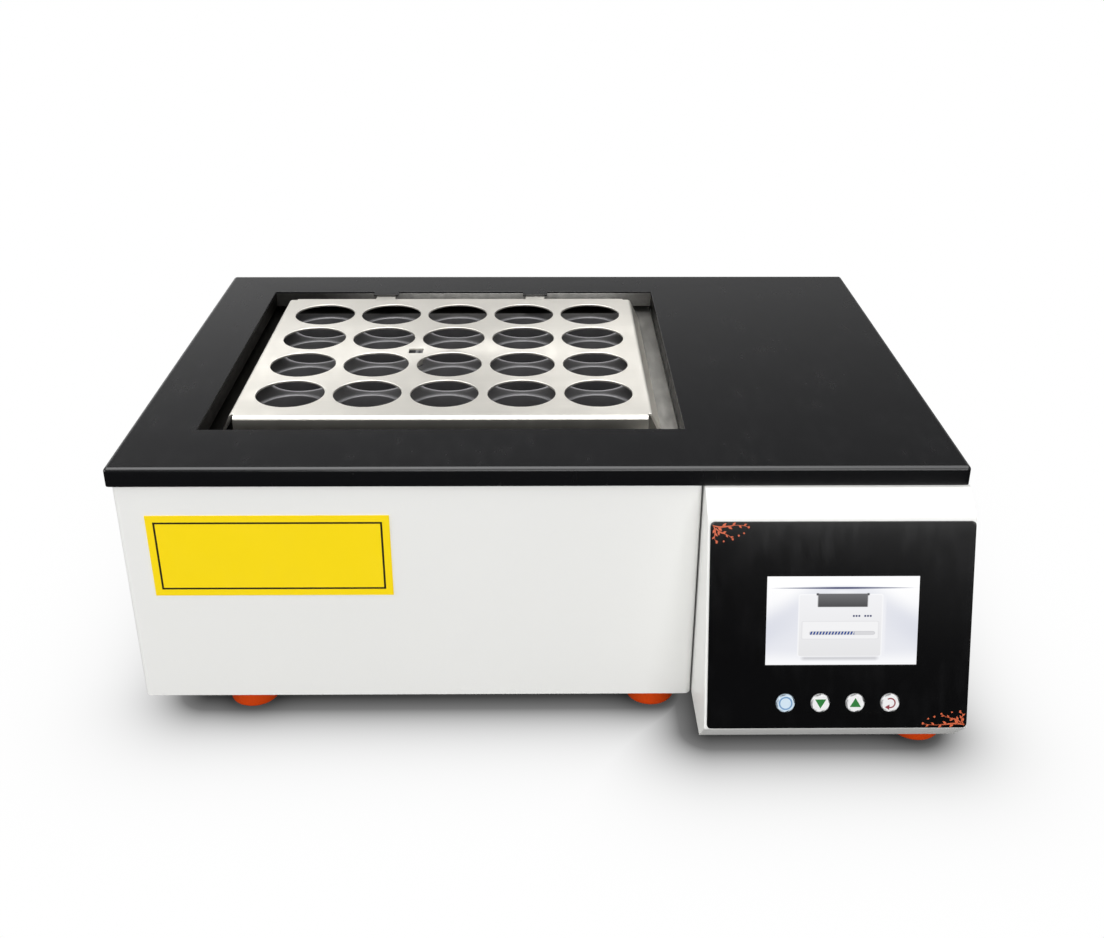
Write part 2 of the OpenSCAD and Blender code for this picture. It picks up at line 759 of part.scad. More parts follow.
module main_shell() color([0.95, 0.95, 0.93])
  difference() {
    slab([body_x0, body_y0, body_z], [body_x1, body_y1 + body_r, cover_under], body_r);
    box([body_x0 - cut, in_y1, body_z - cut], [body_x1 + cut, body_y1 + body_r + cut, cover_under + cut]);
    slab([in_x0, in_y0, base_z], [in_x1, rear_lip_y, cover_under + cut], body_r - wall);
    box([body_x0 + lip_w, body_y0 + lip_w, body_z - cut], [body_x1 - lip_w, body_y1 - lip_w, base_z + cut]);
    box([in_x0 + rear_flange_w, rear_lip_y - cut, base_z + rear_flange_w],
        [in_x1 - rear_flange_w, in_y1 + cut, cover_under + cut]);
    under_fold([body_x0 - cut, body_y0 - cut], [body_x1 + cut, max(in_y0, cover_y0 + cover_r) + cut]);
    under_fold([body_x0 - cut, cover_y1 - cover_r], [body_x1 + cut, cover_y1]);
    if (cover_r > overhang_side) under_fold([body_x0 - cut, body_y0 - cut], [cover_x0 + cover_r, body_y1 + cut]);
    bolt_holes(in_x1 - cut, body_x1 + cut);
    rod_x(in_x1 - cut, body_x1 + cut, grommet_y, grommet_z, grommet_d);
    at_feet() translate([0, 0, body_z - cut]) cylinder(h = wall + 2 * cut, d = foot_screw_d + 2 * slip_gap);
    at_base_screws() translate([0, 0, -cut]) cylinder(h = wall + 2 * cut, d = screw_d + 2 * slip_gap);
    at_rear_screws() translate([0, 0, -screw_l]) cylinder(h = 2 * screw_l, d = screw_d);
  }

// Room that a rim of the body leaves to the curve of the cover's folds
module under_fold(lo, hi)
  box([lo.x, lo.y, body_rim_z], [hi.x, hi.y, cover_under + cut]);

// Screws through the body's lips into the base plate, heads down
module at_base_screws()
  for (x = [body_x0 + base_screw_in, body_x1 - base_screw_in],
       y = [body_y0 + base_screw_in_y, body_y1 - base_screw_in_y])
    translate([x, y, body_z]) children();

module base_plate() color([0.75, 0.76, 0.77])
  difference() {
    slab([in_x0, in_y0, base_z], [in_x1, rear_lip_y, leg_z], body_r - wall);
    at_feet() translate([0, 0, base_z - cut]) cylinder(h = base_t + 2 * cut, d = foot_screw_d);
    at_base_screws() translate([0, 0, -cut]) cylinder(h = wall + base_t + 2 * cut, d = screw_d);
    for (side = [-1, 1], i = [0:bank_rows - 1]) {
      y = well_y + side * louvre_bank + (i - (bank_rows - 1) / 2) * louvre_pitch;
      slab([well_x - louvre_w, y - louvre_h / 2, base_z - cut],
           [well_x + louvre_w, y + louvre_h / 2, leg_z + cut], louvre_r);
    }
  }

rear_screw_in = 6;
rear_screw_up = 20;
rear_screw_down = 16;

// Screws in the rear panels, heads to the rear
module at_rear_screws()
  for (x = [in_x0 + rear_screw_in, in_x1 - rear_screw_in],
       z = [base_z + rear_screw_up, (base_z + skirt_z) / 2, skirt_z - rear_screw_down])
    translate([x, body_y1, z]) rotate([-90, 0, 0]) children();

module at_box_screws()
  for (x = [box_in_x0 + rear_screw_in, box_in_x1 - rear_screw_in],
       z = [base_z + rear_screw_up, skirt_z - rear_screw_down])
    translate([x, body_y1, z]) rotate([-90, 0, 0]) children();

louvre_w = 44;
louvre_h = 3;
louvre_pitch = 9;
louvre_r = 1.4;
louvre_up = 34;
louvre_column = 80;
louvre_bank = 50;
bank_rows = 6;

module louvres(x, z, count)
  for (i = [0:count - 1])
    prism_y(in_y1 - cut, body_y1 + cut, rounded(
      rect_points([x - louvre_w / 2, z + i * louvre_pitch], [x + louvre_w / 2, z + i * louvre_pitch + louvre_h]),
      [for (k = [0:3]) louvre_r]));

module rear_panel() color([0.93, 0.93, 0.91])
  difference() {
    box([body_x0, in_y1, body_z], [body_x1, body_y1, body_rim_z]);
    for (side = [-1, 0, 1]) louvres(well_x + side * louvre_column, body_z + louvre_up, bank_rows);
    at_rear_screws() translate([0, 0, -wall - cut]) cylinder(h = wall + 2 * cut, d = screw_d + 2 * slip_gap);
    for (x = cover_screw_x) rod_y(x, in_y1 - cut, body_y1 + cut, cover_screw_z, cover_screw_d);
  }

module label_plate() color([0.98, 0.85, 0.15])
  box([body_x0 + label_in, body_y0 - label_t, skirt_z - label_drop - label_h],
      [body_x0 + label_in + label_w, body_y0, skirt_z - label_drop]);

// ---- Control box ----

module panel_cut(w, h, y, x = 0)
  translate([x - w / 2, y - h / 2, -wall - cut]) cube([w, h, wall + 2 * cut]);

module control_box_shell() color([0.97, 0.97, 0.96])
  difference() {
    prism_x(box_x0, box_x1, rounded(box_side, box_side_r));
    prism_x(box_in_x0, box_in_x1, box_room);
    box([box_in_x0 + box_lip, cover_y0 + box_lip, skirt_z - wall - cut],
        [box_in_x1 - box_lip, rear_lip_y - box_lip, skirt_z + cut]);
    box([box_x0 - cut, in_y1, body_z - cut], [box_x1 + cut, body_y1 + cut, skirt_z + cut]);
    box([box_in_x0 + rear_flange_w, rear_lip_y - cut, base_z + rear_flange_w],
        [box_in_x1 - rear_flange_w, in_y1 + cut, skirt_z - wall - 2]);
    bolt_holes(box_x0 - cut, box_in_x0 + cut);
    rod_x(box_x0 - cut, box_in_x0 + cut, grommet_y, grommet_z, grommet_d);
    at_feet() translate([0, 0, body_z - cut]) cylinder(h = wall + 2 * cut, d = foot_screw_d + 2 * slip_gap);
    at_box_screws() translate([0, 0, -screw_l]) cylinder(h = 2 * screw_l, d = screw_d);
    on_panel() {
      panel_cut(display_w + 2 * lcd_gap, display_h + 2 * lcd_gap, display_y, display_shift);
      for (i = [0:keys - 1])
        translate([key_x(i), keys_y, -wall - cut]) cylinder(h = wall + 2 * cut, d = key_d + 2 * key_gap);
    }
    for (i = [1:3])
      slab([box_mid - louvre_w, board_y0 - i * louvre_pitch, body_z - cut],
           [box_mid + louvre_w / 2, board_y0 - i * louvre_pitch + louvre_h, base_z + cut], louvre_r);
  }

lcd_gap = 1;
// Inner room of the box: the side outline set in by the sheet, with the same folds
box_room = rounded(concat([[rear_lip_y, skirt_z - wall]],
    [for (i = [1:4]) inset(box_side, wall)[i]], [[rear_lip_y, base_z]]),
  [0, for (i = [1:4]) max(box_side_r[i] - wall, 0), 0]);

module control_rear_panel() color([0.93, 0.93, 0.91])
  difference() {
    box([box_x0, in_y1, body_z], [box_x1, body_y1, skirt_z]);
    box([inlet_x - inlet_body_w / 2, in_y1 - cut, inlet_z - inlet_body_h / 2],
        [inlet_x + inlet_body_w / 2, body_y1 + cut, inlet_z + inlet_body_h / 2]);
    box([switch_x - switch_body_w / 2, in_y1 - cut, inlet_z - switch_body_l / 2],
        [switch_x + switch_body_w / 2, body_y1 + cut, inlet_z + switch_body_l / 2]);
    louvres(box_x0 + box_w / 2, inlet_z + louvre_up, bank_rows - 1);
    at_box_screws() translate([0, 0, -wall - cut]) cylinder(h = wall + 2 * cut, d = screw_d + 2 * slip_gap);
    rod_y(earth_x, in_y1 - cut, body_y1 + cut, earth_z, screw_d);
  }

module control_panel() color([0.05, 0.05, 0.055])
  on_panel() difference() {
    slab([-panel_w / 2, -panel_top - panel_l, panel_film], [panel_w / 2, -panel_top, panel_t], panel_r);
    translate([display_shift - display_w / 2, display_y - display_h / 2, -cut])
      cube([display_w, display_h, panel_t + 2 * cut]);
    for (i = [0:keys - 1])
      translate([key_x(i), keys_y, -cut]) cylinder(h = panel_t + 2 * cut, d = key_d + 2 * key_gap);
  }

module display_glass() color([0.85, 0.88, 0.95])
  on_panel() translate([display_shift - display_w / 2, display_y - display_h / 2, -wall])
    cube([display_w, display_h, panel_t + wall]);

module display_module() color([0.2, 0.35, 0.25])
  on_panel() translate([display_shift, display_y, 0]) {
    translate([-display_w / 2 - lcd_rim, -display_h / 2 - lcd_rim, -wall - lcd_t])
      cube([display_w + 2 * lcd_rim, display_h + 2 * lcd_rim, lcd_t]);
    translate([-display_board_w / 2, -display_board_h / 2, -wall - lcd_t - board_t])
      cube([display_board_w, display_board_h, board_t]);
    translate([-lcd_plug.x / 2, lcd_plug.y / 2 - display_board_h / 2, -wall - lcd_t - board_t - lcd_plug.z])
      cube(lcd_plug);
  }

module key_board() color([0.15, 0.4, 0.25])
  on_panel() translate([0, keys_y, key_board_z]) {
    translate([-key_board_l / 2, -key_board_w / 2, -board_t]) cube([key_board_l, key_board_w, board_t]);
    for (i = [0:keys - 1]) {
      translate([key_x(i) - switch_side / 2, -switch_side / 2, 0]) cube([switch_side, switch_side, switch_body_h]);
      translate([key_x(i), 0, switch_body_h]) cylinder(h = switch_pip_h, d = switch_pip_d);
    }
  }

// Welded studs behind the panel: four carry the display, four the key board
module panel_studs() color([0.8, 0.8, 0.8])
  on_panel() {
    for (x = [-1, 1], y = [-1, 1]) {
      translate([display_shift + x * (display_board_w / 2 - stud_d / 2 - 1),
                 display_y + y * (display_board_h / 2 - stud_d / 2 - 1), -wall - lcd_t])
        cylinder(h = lcd_t, d = stud_d);
      translate([x * (key_board_l / 2 - stud_d / 2 - 1), keys_y + y * (key_board_w / 2 - stud_d / 2 - 1),
                 key_board_z])
        cylinder(h = -wall - key_board_z, d = stud_d);
    }
  }

module key(i) color([0.93, 0.93, 0.92])
  on_panel() translate([key_x(i), keys_y, 0]) {
    translate([0, 0, -wall - run_gap]) cylinder(h = wall + run_gap + panel_t + key_proud, d = key_d);
    translate([0, 0, -wall - run_gap - key_flange_t])
      cylinder(h = key_flange_t, d = key_d + 2 * key_gap + 2 * key_flange);
    translate([0, 0, -key_back]) cylinder(h = key_stem_l, d = key_stem_d);
  }

// ---- Electronics in the control box ----

box_mid = (box_in_x0 + box_in_x1) / 2;
supply_x0 = box_mid - supply_w / 2;
board_z = floor_z + standoff_h;

// Parts on the main board, from its front left corner: transformer, three relays and the
// terminal row as [[x, y], [width, depth, height]], then the middles of three capacitors
board_parts = [[[6, 8], [40, 36, 28]], [[56, 8], [28, 12, 15]], [[56, 26], [28, 12, 15]],
  [[56, 44], [28, 12, 15]], [[10, 78], [80, 10, 12]]];
capacitors = [[14, 60], [29, 60], [44, 60]];
capacitor_d = 12;
capacitor_h = 18;

module main_board() color([0.1, 0.42, 0.25])
  translate([box_mid - board_w / 2, board_y0, board_z]) {
    cube([board_w, board_d, board_t]);
    for (part = board_parts) translate([part[0].x, part[0].y, board_t]) cube(part[1]);
    for (p = capacitors) translate([p.x, p.y, board_t]) cylinder(h = capacitor_h, d = capacitor_d);
  }

standoff_in = 5;
standoff_d = 6;

module board_standoffs() color([0.8, 0.8, 0.78])
  for (x = [-1, 1], y = [standoff_in, board_d - standoff_in])
    translate([box_mid + x * (board_w / 2 - standoff_in), board_y0 + y, floor_z])
      cylinder(h = standoff_h, d = standoff_d, $fn = 6);

sink_w = 76;
sink_base_t = 6;
sink_fin_h = 30;
sink_fin_t = 2.4;
sink_fins = 10;

module relay_heat_sink() color([0.75, 0.76, 0.78]) {
  x0 = box_mid - sink_w / 2;
  for (i = [0:sink_fins - 1])
    translate([x0 + i * (sink_w - sink_fin_t) / (sink_fins - 1), sink_y0, floor_z])
      cube([sink_fin_t, sink_d, sink_fin_h + 0.5]);
  box([x0, sink_y0, floor_z + sink_fin_h], [x0 + sink_w, sink_y0 + sink_d, floor_z + sink_fin_h + sink_base_t]);
}

relay_w = 45;
relay_d = 58;
relay_h = 26;
relay_cheek = 4;
relay_step_l = 13;
relay_step_h = 6;

module solid_state_relay() color([0.15, 0.15, 0.16]) {
  x0 = box_mid - relay_w / 2;
  y0 = sink_y0 + (sink_d - relay_d) / 2;
  z0 = floor_z + sink_fin_h + sink_base_t;
  difference() {
    box([x0, y0, z0], [x0 + relay_w, y0 + relay_d, z0 + relay_h]);
    for (y = [y0 - cut, y0 + relay_d - relay_step_l])
      box([x0 + relay_cheek, y, z0 + relay_h - relay_step_h],
          [x0 + relay_w - relay_cheek, y + relay_step_l + cut, z0 + relay_h + cut]);
  }
}

supply_slots = 9;
supply_slot = [3, 60, 2];
supply_slot_pitch = 8;
supply_cheek = 4;
supply_step_l = 10;
supply_step_z = 14;

// Power supply: air slots in its lid and a step for its terminals at the front
module power_supply() color([0.7, 0.71, 0.72])
  translate([supply_x0, supply_y0, floor_z]) difference() {
    cube([supply_w, supply_d, supply_h]);
    for (i = [0:supply_slots - 1])
      translate([supply_w / 2 + (i - (supply_slots - 1) / 2) * supply_slot_pitch - supply_slot.x / 2,
                 (supply_d - supply_slot.y) / 2, supply_h - supply_slot.z])
        cube(supply_slot + [0, 0, cut]);
    box([supply_cheek, -cut, supply_step_z], [supply_w - supply_cheek, supply_step_l, supply_h + cut]);
  }

ways = 6;
way_pitch = 12;
way_d = 6;
way_l = 8;
ways_block = [14, ways * way_pitch + 8, 24];
ways_up = 60;

// Terminal block on the box's right wall, one round way for each wire
module terminal_block() color([0.25, 0.25, 0.27])
  translate([box_in_x1 - ways_block.x, sink_y0, base_z + ways_up]) difference() {
    cube(ways_block);
    for (i = [0:ways - 1])
      rod_x(-cut, way_l, ways_block.y / 2 + (i - (ways - 1) / 2) * way_pitch, ways_block.z / 2, way_d);
  }

inlet_body_w = 33;
inlet_body_h = 24;
inlet_flange_t = 1.8;
inlet_room_w = 27.5;
inlet_room_h = 19.5;
inlet_room_l = 18;

// Appliance inlet: flange on the rear panel and a socket room open to the rear
module power_inlet() color([0.08, 0.08, 0.09])
  difference() {
    union() {
      box([inlet_x - inlet_w / 2, body_y1, inlet_z - inlet_h / 2],
          [inlet_x + inlet_w / 2, body_y1 + inlet_flange_t, inlet_z + inlet_h / 2]);
      box([inlet_x - inlet_body_w / 2, body_y1 - inlet_l, inlet_z - inlet_body_h / 2],
          [inlet_x + inlet_body_w / 2, body_y1 + inlet_flange_t / 2, inlet_z + inlet_body_h / 2]);
    }
    box([inlet_x - inlet_room_w / 2, body_y1 + inlet_flange_t - inlet_room_l, inlet_z - inlet_room_h / 2],
        [inlet_x + inlet_room_w / 2, body_y1 + inlet_flange_t + cut, inlet_z + inlet_room_h / 2]);
  }

pin = [2, 15, 6];
pin_places = [[-8, -3], [8, -3], [0, 4]];

module inlet_pins() color([0.85, 0.83, 0.75])
  for (p = pin_places)
    translate([inlet_x + p.x - pin.x / 2, body_y1 + inlet_flange_t - inlet_room_l, inlet_z + p.y - pin.z / 2])
      cube(pin);

switch_body_w = 18;
switch_body_l = 26;
switch_body_d = 24;
switch_room_d = 16;
switch_flange_t = 1.6;
rocker_w = 13;
rocker_l = 21;
rocker_axle_d = 3;
rocker_axle_end = 1.4;
rocker_axle_y = body_y1 - 6.6;
rocker_face = 5.2;
rocker_back = 5;
rocker_edge = 2;
rocker_rise = tan(rocker_swing / 2) * rocker_l / 2;
// Half height of the frame's room: the rocker's tip at the end of its swing, and a gap
rocker_room = cos(rocker_swing / 2) * rocker_l / 2
  + sin(rocker_swing / 2) * (rocker_face + rocker_rise) + run_gap;

module switch_frame() color([0.1, 0.1, 0.1])
  difference() {
    union() {
      box([switch_x - switch_w / 2, body_y1, inlet_z - switch_h / 2],
          [switch_x + switch_w / 2, body_y1 + switch_flange_t, inlet_z + switch_h / 2]);
      box([switch_x - switch_body_w / 2, body_y1 - switch_body_d, inlet_z - switch_body_l / 2],
          [switch_x + switch_body_w / 2, body_y1 + switch_flange_t / 2, inlet_z + switch_body_l / 2]);
    }
    box([switch_x - rocker_w / 2 - run_gap, body_y1 - switch_room_d, inlet_z - rocker_room],
        [switch_x + rocker_w / 2 + run_gap, body_y1 + switch_flange_t + cut, inlet_z + rocker_room]);
    rod_x(switch_x - rocker_w / 2 - rocker_axle_end - slip_gap,
      switch_x + rocker_w / 2 + rocker_axle_end + slip_gap, rocker_axle_y, inlet_z,
      rocker_axle_d + 2 * axle_gap);
  }

// Rocker: a shallow V face, its lower half pressed in at rest
module switch_rocker() color([0.75, 0.12, 0.1])
  translate([switch_x, rocker_axle_y, inlet_z]) rotate([-rocker_swing / 2, 0, 0]) {
    reach = rocker_l / 2;
    prism_x(-rocker_w / 2, rocker_w / 2, [
      [rocker_face, 0], [rocker_face + rocker_rise, reach], [-rocker_edge, reach - rocker_edge / 2],
      [-rocker_back, 0], [-rocker_edge, rocker_edge / 2 - reach], [rocker_face + rocker_rise, -reach]]);
    rod_x(-rocker_w / 2 - rocker_axle_end, rocker_w / 2 + rocker_axle_end, 0, 0, rocker_axle_d);
  }

// ---- Joining pieces ----

grommet_rim_t = 2;
grommet_rim_d = 27;
grommet_bore = 16;

module wall_grommet() color([0.08, 0.08, 0.08])
  difference() {
    union() {
      rod_x(in_x1, box_in_x0, grommet_y, grommet_z, grommet_d);
      rod_x(in_x1 - grommet_rim_t, in_x1, grommet_y, grommet_z, grommet_rim_d);
      rod_x(box_in_x0, box_in_x0 + grommet_rim_t, grommet_y, grommet_z, grommet_rim_d);
    }
    rod_x(in_x1 - grommet_rim_t - cut, box_in_x0 + grommet_rim_t + cut, grommet_y, grommet_z, grommet_bore);
  }

bolt_past = 6;
bolt_head_h = 2;
nut_h = 3;

module joining_bolts() color([0.75, 0.75, 0.75])
  for (y = bolt_rows, z = bolt_heights) {
    rod_x(in_x1, box_in_x0 + bolt_past, y, z, screw_d);
    rod_x(in_x1 - bolt_head_h, in_x1, y, z, screw_head_d);
    translate([box_in_x0, y, z]) rotate([0, 90, 0]) cylinder(h = nut_h, d = screw_head_d, $fn = 6);
  }

module cover_screws() color([0.2, 0.2, 0.2])
  for (x = cover_screw_x) translate([x, cover_y1, cover_screw_z]) rotate([90, 0, 0]) {
    cylinder(h = cover_t, d1 = cover_screw_head_d, d2 = cover_screw_d);
    cylinder(h = cover_screw_l, d = cover_screw_d);
  }

module panel_screws() color([0.78, 0.78, 0.78]) {
  at_rear_screws() screw(screw_l - 2);
  at_box_screws() screw(screw_l - 2);
}

module base_screws() color([0.78, 0.78, 0.78])
  at_base_screws() mirror([0, 0, 1]) screw(wall + base_t + 1.5);

earth_in = 22;
earth_x = box_in_x1 - earth_in;
earth_up = 34;
earth_z = body_z + earth_up;
earth_l = 14;

module earth_stud() color([0.8, 0.7, 0.35]) {
  rod_y(earth_x, in_y1 - earth_l, body_y1, earth_z, screw_d);
  translate([earth_x, in_y1, earth_z]) rotate([90, 0, 0]) cylinder(h = nut_h, d = 2 * screw_d, $fn = 6);
}

// ---- Feet ----

module foot(i) color([0.85, 0.33, 0.1])
  translate([feet[i].x, feet[i].y, 0]) difference() {
    cylinder(h = foot_h, d1 = foot_base_d, d2 = foot_top_d);
    translate([0, 0, -cut]) cylinder(h = foot_sink + cut, d = foot_screw_head_d + 2);
    translate([0, 0, -cut]) cylinder(h = foot_h + 2 * cut, d = foot_screw_d + 2 * slip_gap);
  }

module foot_washers() color([0.1, 0.1, 0.1])
  at_feet() translate([0, 0, foot_h]) difference() {
    cylinder(h = washer_t, d = foot_top_d);
    translate([0, 0, -cut]) cylinder(h = washer_t + 2 * cut, d = foot_screw_d + 2 * slip_gap);
  }

module foot_screws() color([0.78, 0.78, 0.78])
  at_feet() {
    translate([0, 0, foot_sink - foot_screw_head_h]) cylinder(h = foot_screw_head_h, d = foot_screw_head_d);
    translate([0, 0, foot_sink]) cylinder(h = leg_z - foot_sink + 3, d = foot_screw_d);
  }

top_cover();
opening_collar();
guide_plate();
graphite_block();
temperature_probe();
ledge_frame();
well_casing();
casing_legs();
support_pillars();
heater_plate();
cartridge_heaters();
heater_terminals();
safety_thermostat();
insulation_base();
insulation_front();
insulation_rear();
insulation_left();
insulation_right();
main_shell();
base_plate();
rear_panel();
label_plate();
control_box_shell();
control_rear_panel();
control_panel();
display_glass();
display_module();
key_board();
panel_studs();
key(0);  // key_info
key(1);  // key_down
key(2);  // key_up
key(3);  // key_return
main_board();
board_standoffs();
relay_heat_sink();
solid_state_relay();
power_supply();
terminal_block();
power_inlet();
inlet_pins();
switch_frame();
switch_rocker();
wall_grommet();
joining_bolts();
cover_screws();
panel_screws();
base_screws();
earth_stud();
foot(0);  // foot_front_left
foot(1);  // foot_front_middle
foot(2);  // foot_front_right
foot(3);  // foot_rear_left
foot(4);  // foot_rear_middle
foot(5);  // foot_rear_right
foot_washers();
foot_screws();
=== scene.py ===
"""Studio model of a graphite block digester: finishes, printed signs, rubber feet, screws and studio."""

import json
import math

import bmesh
import bpy
from bpy.props import FloatProperty, FloatVectorProperty, IntProperty, PointerProperty
from mathutils import Matrix, Vector


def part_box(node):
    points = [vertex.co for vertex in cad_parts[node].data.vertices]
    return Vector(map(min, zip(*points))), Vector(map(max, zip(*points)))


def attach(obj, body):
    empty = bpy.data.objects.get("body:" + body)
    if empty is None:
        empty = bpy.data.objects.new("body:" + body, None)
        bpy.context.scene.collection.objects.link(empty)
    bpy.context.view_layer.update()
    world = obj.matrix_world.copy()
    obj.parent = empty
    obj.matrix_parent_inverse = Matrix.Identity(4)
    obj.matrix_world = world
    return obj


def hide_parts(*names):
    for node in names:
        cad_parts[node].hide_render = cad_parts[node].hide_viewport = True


bl_info = {
    "name": "Block digester studio model",
    "version": (1, 0, 0),
    "blender": (4, 5, 0),
    "location": "3D View > Sidebar > Digester",
    "description": "Finishes, printed signs, feet, screws and studio of a graphite block digester",
    "category": "Object",
}

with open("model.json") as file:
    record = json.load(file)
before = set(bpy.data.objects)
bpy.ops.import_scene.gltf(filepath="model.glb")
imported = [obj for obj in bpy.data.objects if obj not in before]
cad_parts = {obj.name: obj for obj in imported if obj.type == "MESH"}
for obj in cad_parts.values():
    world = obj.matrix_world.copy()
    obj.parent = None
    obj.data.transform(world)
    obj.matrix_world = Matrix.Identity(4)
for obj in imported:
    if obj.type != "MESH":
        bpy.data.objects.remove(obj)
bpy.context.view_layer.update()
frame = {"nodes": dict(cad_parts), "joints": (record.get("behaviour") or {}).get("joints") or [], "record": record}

RIGHT = Vector((1, 0, 0))
REAR = Vector((0, 1, 0))
UP = Vector((0, 0, 1))


# ---- Measures taken from the frame ----

def joint(name):
    return next(j for j in frame["joints"] if j["name"] == name)


def extent(node, axis):
    """Least and greatest distance of a node's vertices along an axis."""
    reach = [v.co.dot(axis) for v in frame["nodes"][node].data.vertices]
    return min(reach), max(reach)


def middle(node):
    low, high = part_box(node)
    return (low + high) / 2


class Face:
    """A flat face of a node: its centre, its size, and the directions right, up and out of it."""

    def __init__(self, node, right, out):
        self.right, self.out, self.up = right, out, out.cross(right)
        spans = [extent(node, axis) for axis in (self.right, self.up)]
        self.width, self.height = (high - low for low, high in spans)
        across, along = (sum(span) / 2 for span in spans)
        self.centre = self.right * across + self.up * along + self.out * extent(node, out)[1]

    def place(self, x=0.0, y=0.0, lift=0.0):
        """Matrix of a point on the face, x right and y up from its middle, with +Z out of it."""
        turn = Matrix((self.right, self.up, self.out)).transposed().to_4x4()
        return Matrix.Translation(self.centre + self.right * x + self.up * y + self.out * lift) @ turn


class WellGrid:
    """First well, middle, pitch and outer ends of the wells, and the radius of their mouths."""

    def __init__(self):
        openings = frame["record"]["physics"]["openings"]
        boxes = [o["box_m"] for o in openings if o["name"].startswith("well_")]
        lines = [sorted({round((low[i] + high[i]) / 2, 6) for low, high in boxes}) for i in (0, 1)]
        self.first = Vector([line[0] for line in lines])
        self.middle = Vector([(line[0] + line[-1]) / 2 for line in lines])
        self.pitch = [(line[-1] - line[0]) / (len(line) - 1) for line in lines]
        self.ends = [len(line) * pitch / 2 for line, pitch in zip(lines, self.pitch)]
        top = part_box("graphite_block")[1].z - 1e-5
        places = [v.co for v in frame["nodes"]["graphite_block"].data.vertices]
        self.mouth = min((p.xy - self.first).length for p in places if p.z > top)


PANEL_OUT = -Vector(joint("info_press")["axis"]).normalized()
PANEL = Face("control_panel", RIGHT, PANEL_OUT)
SCREEN = Face("display_glass", RIGHT, PANEL_OUT)
LABEL = Face("label_plate", RIGHT, -REAR)
WELLS = WellGrid()
FEET = [f"foot_{end}_{side}" for end in ("front", "rear") for side in ("left", "middle", "right")]


# ---- Values that a user would change ----

def colour(name, description, default):
    return FloatVectorProperty(
        name=name, description=description, default=default, size=3, min=0, max=1, subtype="COLOR")


def length(name, description, default):
    return FloatProperty(
        name=name, description=description, default=default, min=0, unit="LENGTH", precision=5)


class DigesterSizes(bpy.types.PropertyGroup):
    """Sizes of the details that the finished model adds."""

    sheet_edge: length("Sheet edge", "Rounding of cut and folded sheet edges", 0.00025)
    moulded_edge: length("Moulded edge", "Rounding of plastic and rubber edges", 0.0005)
    machined_edge: length("Machined edge", "Broken edge of machined metal", 0.0003)
    print_height: length("Print height", "Thickness of printed signs", 0.00006)
    sign_line: length("Sign line", "Line width of the key signs", 0.0008)
    label_frame_in: length("Label frame inset", "Distance of the label's line from its edge", 0.0042)
    label_frame_line: length("Label frame line", "Line width of the label's frame", 0.0012)
    recess_depth: length("Recess depth", "Depth of a screw head's cross recess", 0.0009)
    foot_edge: length("Foot edge", "Rounding of a foot's rim on the bench", 0.0022)
    foot_steps: IntProperty(name="Foot segments", description="Faces round a foot", default=72, min=24)


class DigesterColours(bpy.types.PropertyGroup):
    """Colours of the finishes and printed signs."""

    cover: colour("Cover", "Black powder coat of the cover", (0.0045, 0.0046, 0.0054))
    body: colour("Body", "White powder coat of body and control box", (0.86, 0.86, 0.84))
    steel: colour("Steel", "Stainless sheet", (0.93, 0.9, 0.83))
    zinc: colour("Zinc", "Zinc-plated sheet and screws", (0.6, 0.61, 0.62))
    # Collar and Scale are painted light, not colours of the sheet: the first is a painted reflection on the bright
    # parts of collar and ledge, the second painted shade on the rest.
    collar: colour("Collar", "Collar and ledge of the opening where they stay bright", (0.5, 0.488, 0.46))
    scale: colour("Scale", "Dark heat scale on collar and ledge", (0.006, 0.0056, 0.005))
    graphite: colour("Graphite", "Machined graphite", (0.135, 0.133, 0.138))
    aluminium: colour("Aluminium", "Cast and machined aluminium", (0.66, 0.67, 0.69))
    ceramic: colour("Ceramic", "Unglazed steatite", (0.83, 0.79, 0.7))
    fibre: colour("Fibre board", "Ceramic fibre insulation", (0.86, 0.83, 0.76))
    label: colour("Label", "Plain label plate", (1.0, 0.74, 0.004))
    panel: colour("Panel", "Black gloss panel", (0.0026, 0.0026, 0.0029))
    board: colour("Board", "Solder resist of the circuit boards", (0.012, 0.13, 0.06))
    key: colour("Key", "White keys", (0.8, 0.8, 0.8))
    key_blue: colour("Information key", "Tinted information key", (0.6, 0.72, 0.82))
    plastic: colour("Plastic", "Black moulded plastic", (0.018, 0.018, 0.02))
    rocker: colour("Rocker", "Red rocker of the mains switch", (0.52, 0.02, 0.014))
    brass: colour("Brass", "Inlet pins and earth stud", (0.72, 0.54, 0.24))
    foot: colour("Foot", "Orange rubber feet", (0.68, 0.06, 0.0025))
    rubber: colour("Rubber", "Black rubber", (0.022, 0.022, 0.022))
    ornament: colour("Ornament", "Print in the panel's corners", (0.68, 0.12, 0.035))
    sign_blue: colour("Blue sign", "Ring on the information key", (0.16, 0.33, 0.58))
    sign_green: colour("Green sign", "Arrows of the up and down keys", (0.006, 0.2, 0.024))
    sign_red: colour("Red sign", "Hook on the return key", (0.28, 0.03, 0.045))


# ---- Node trees ----

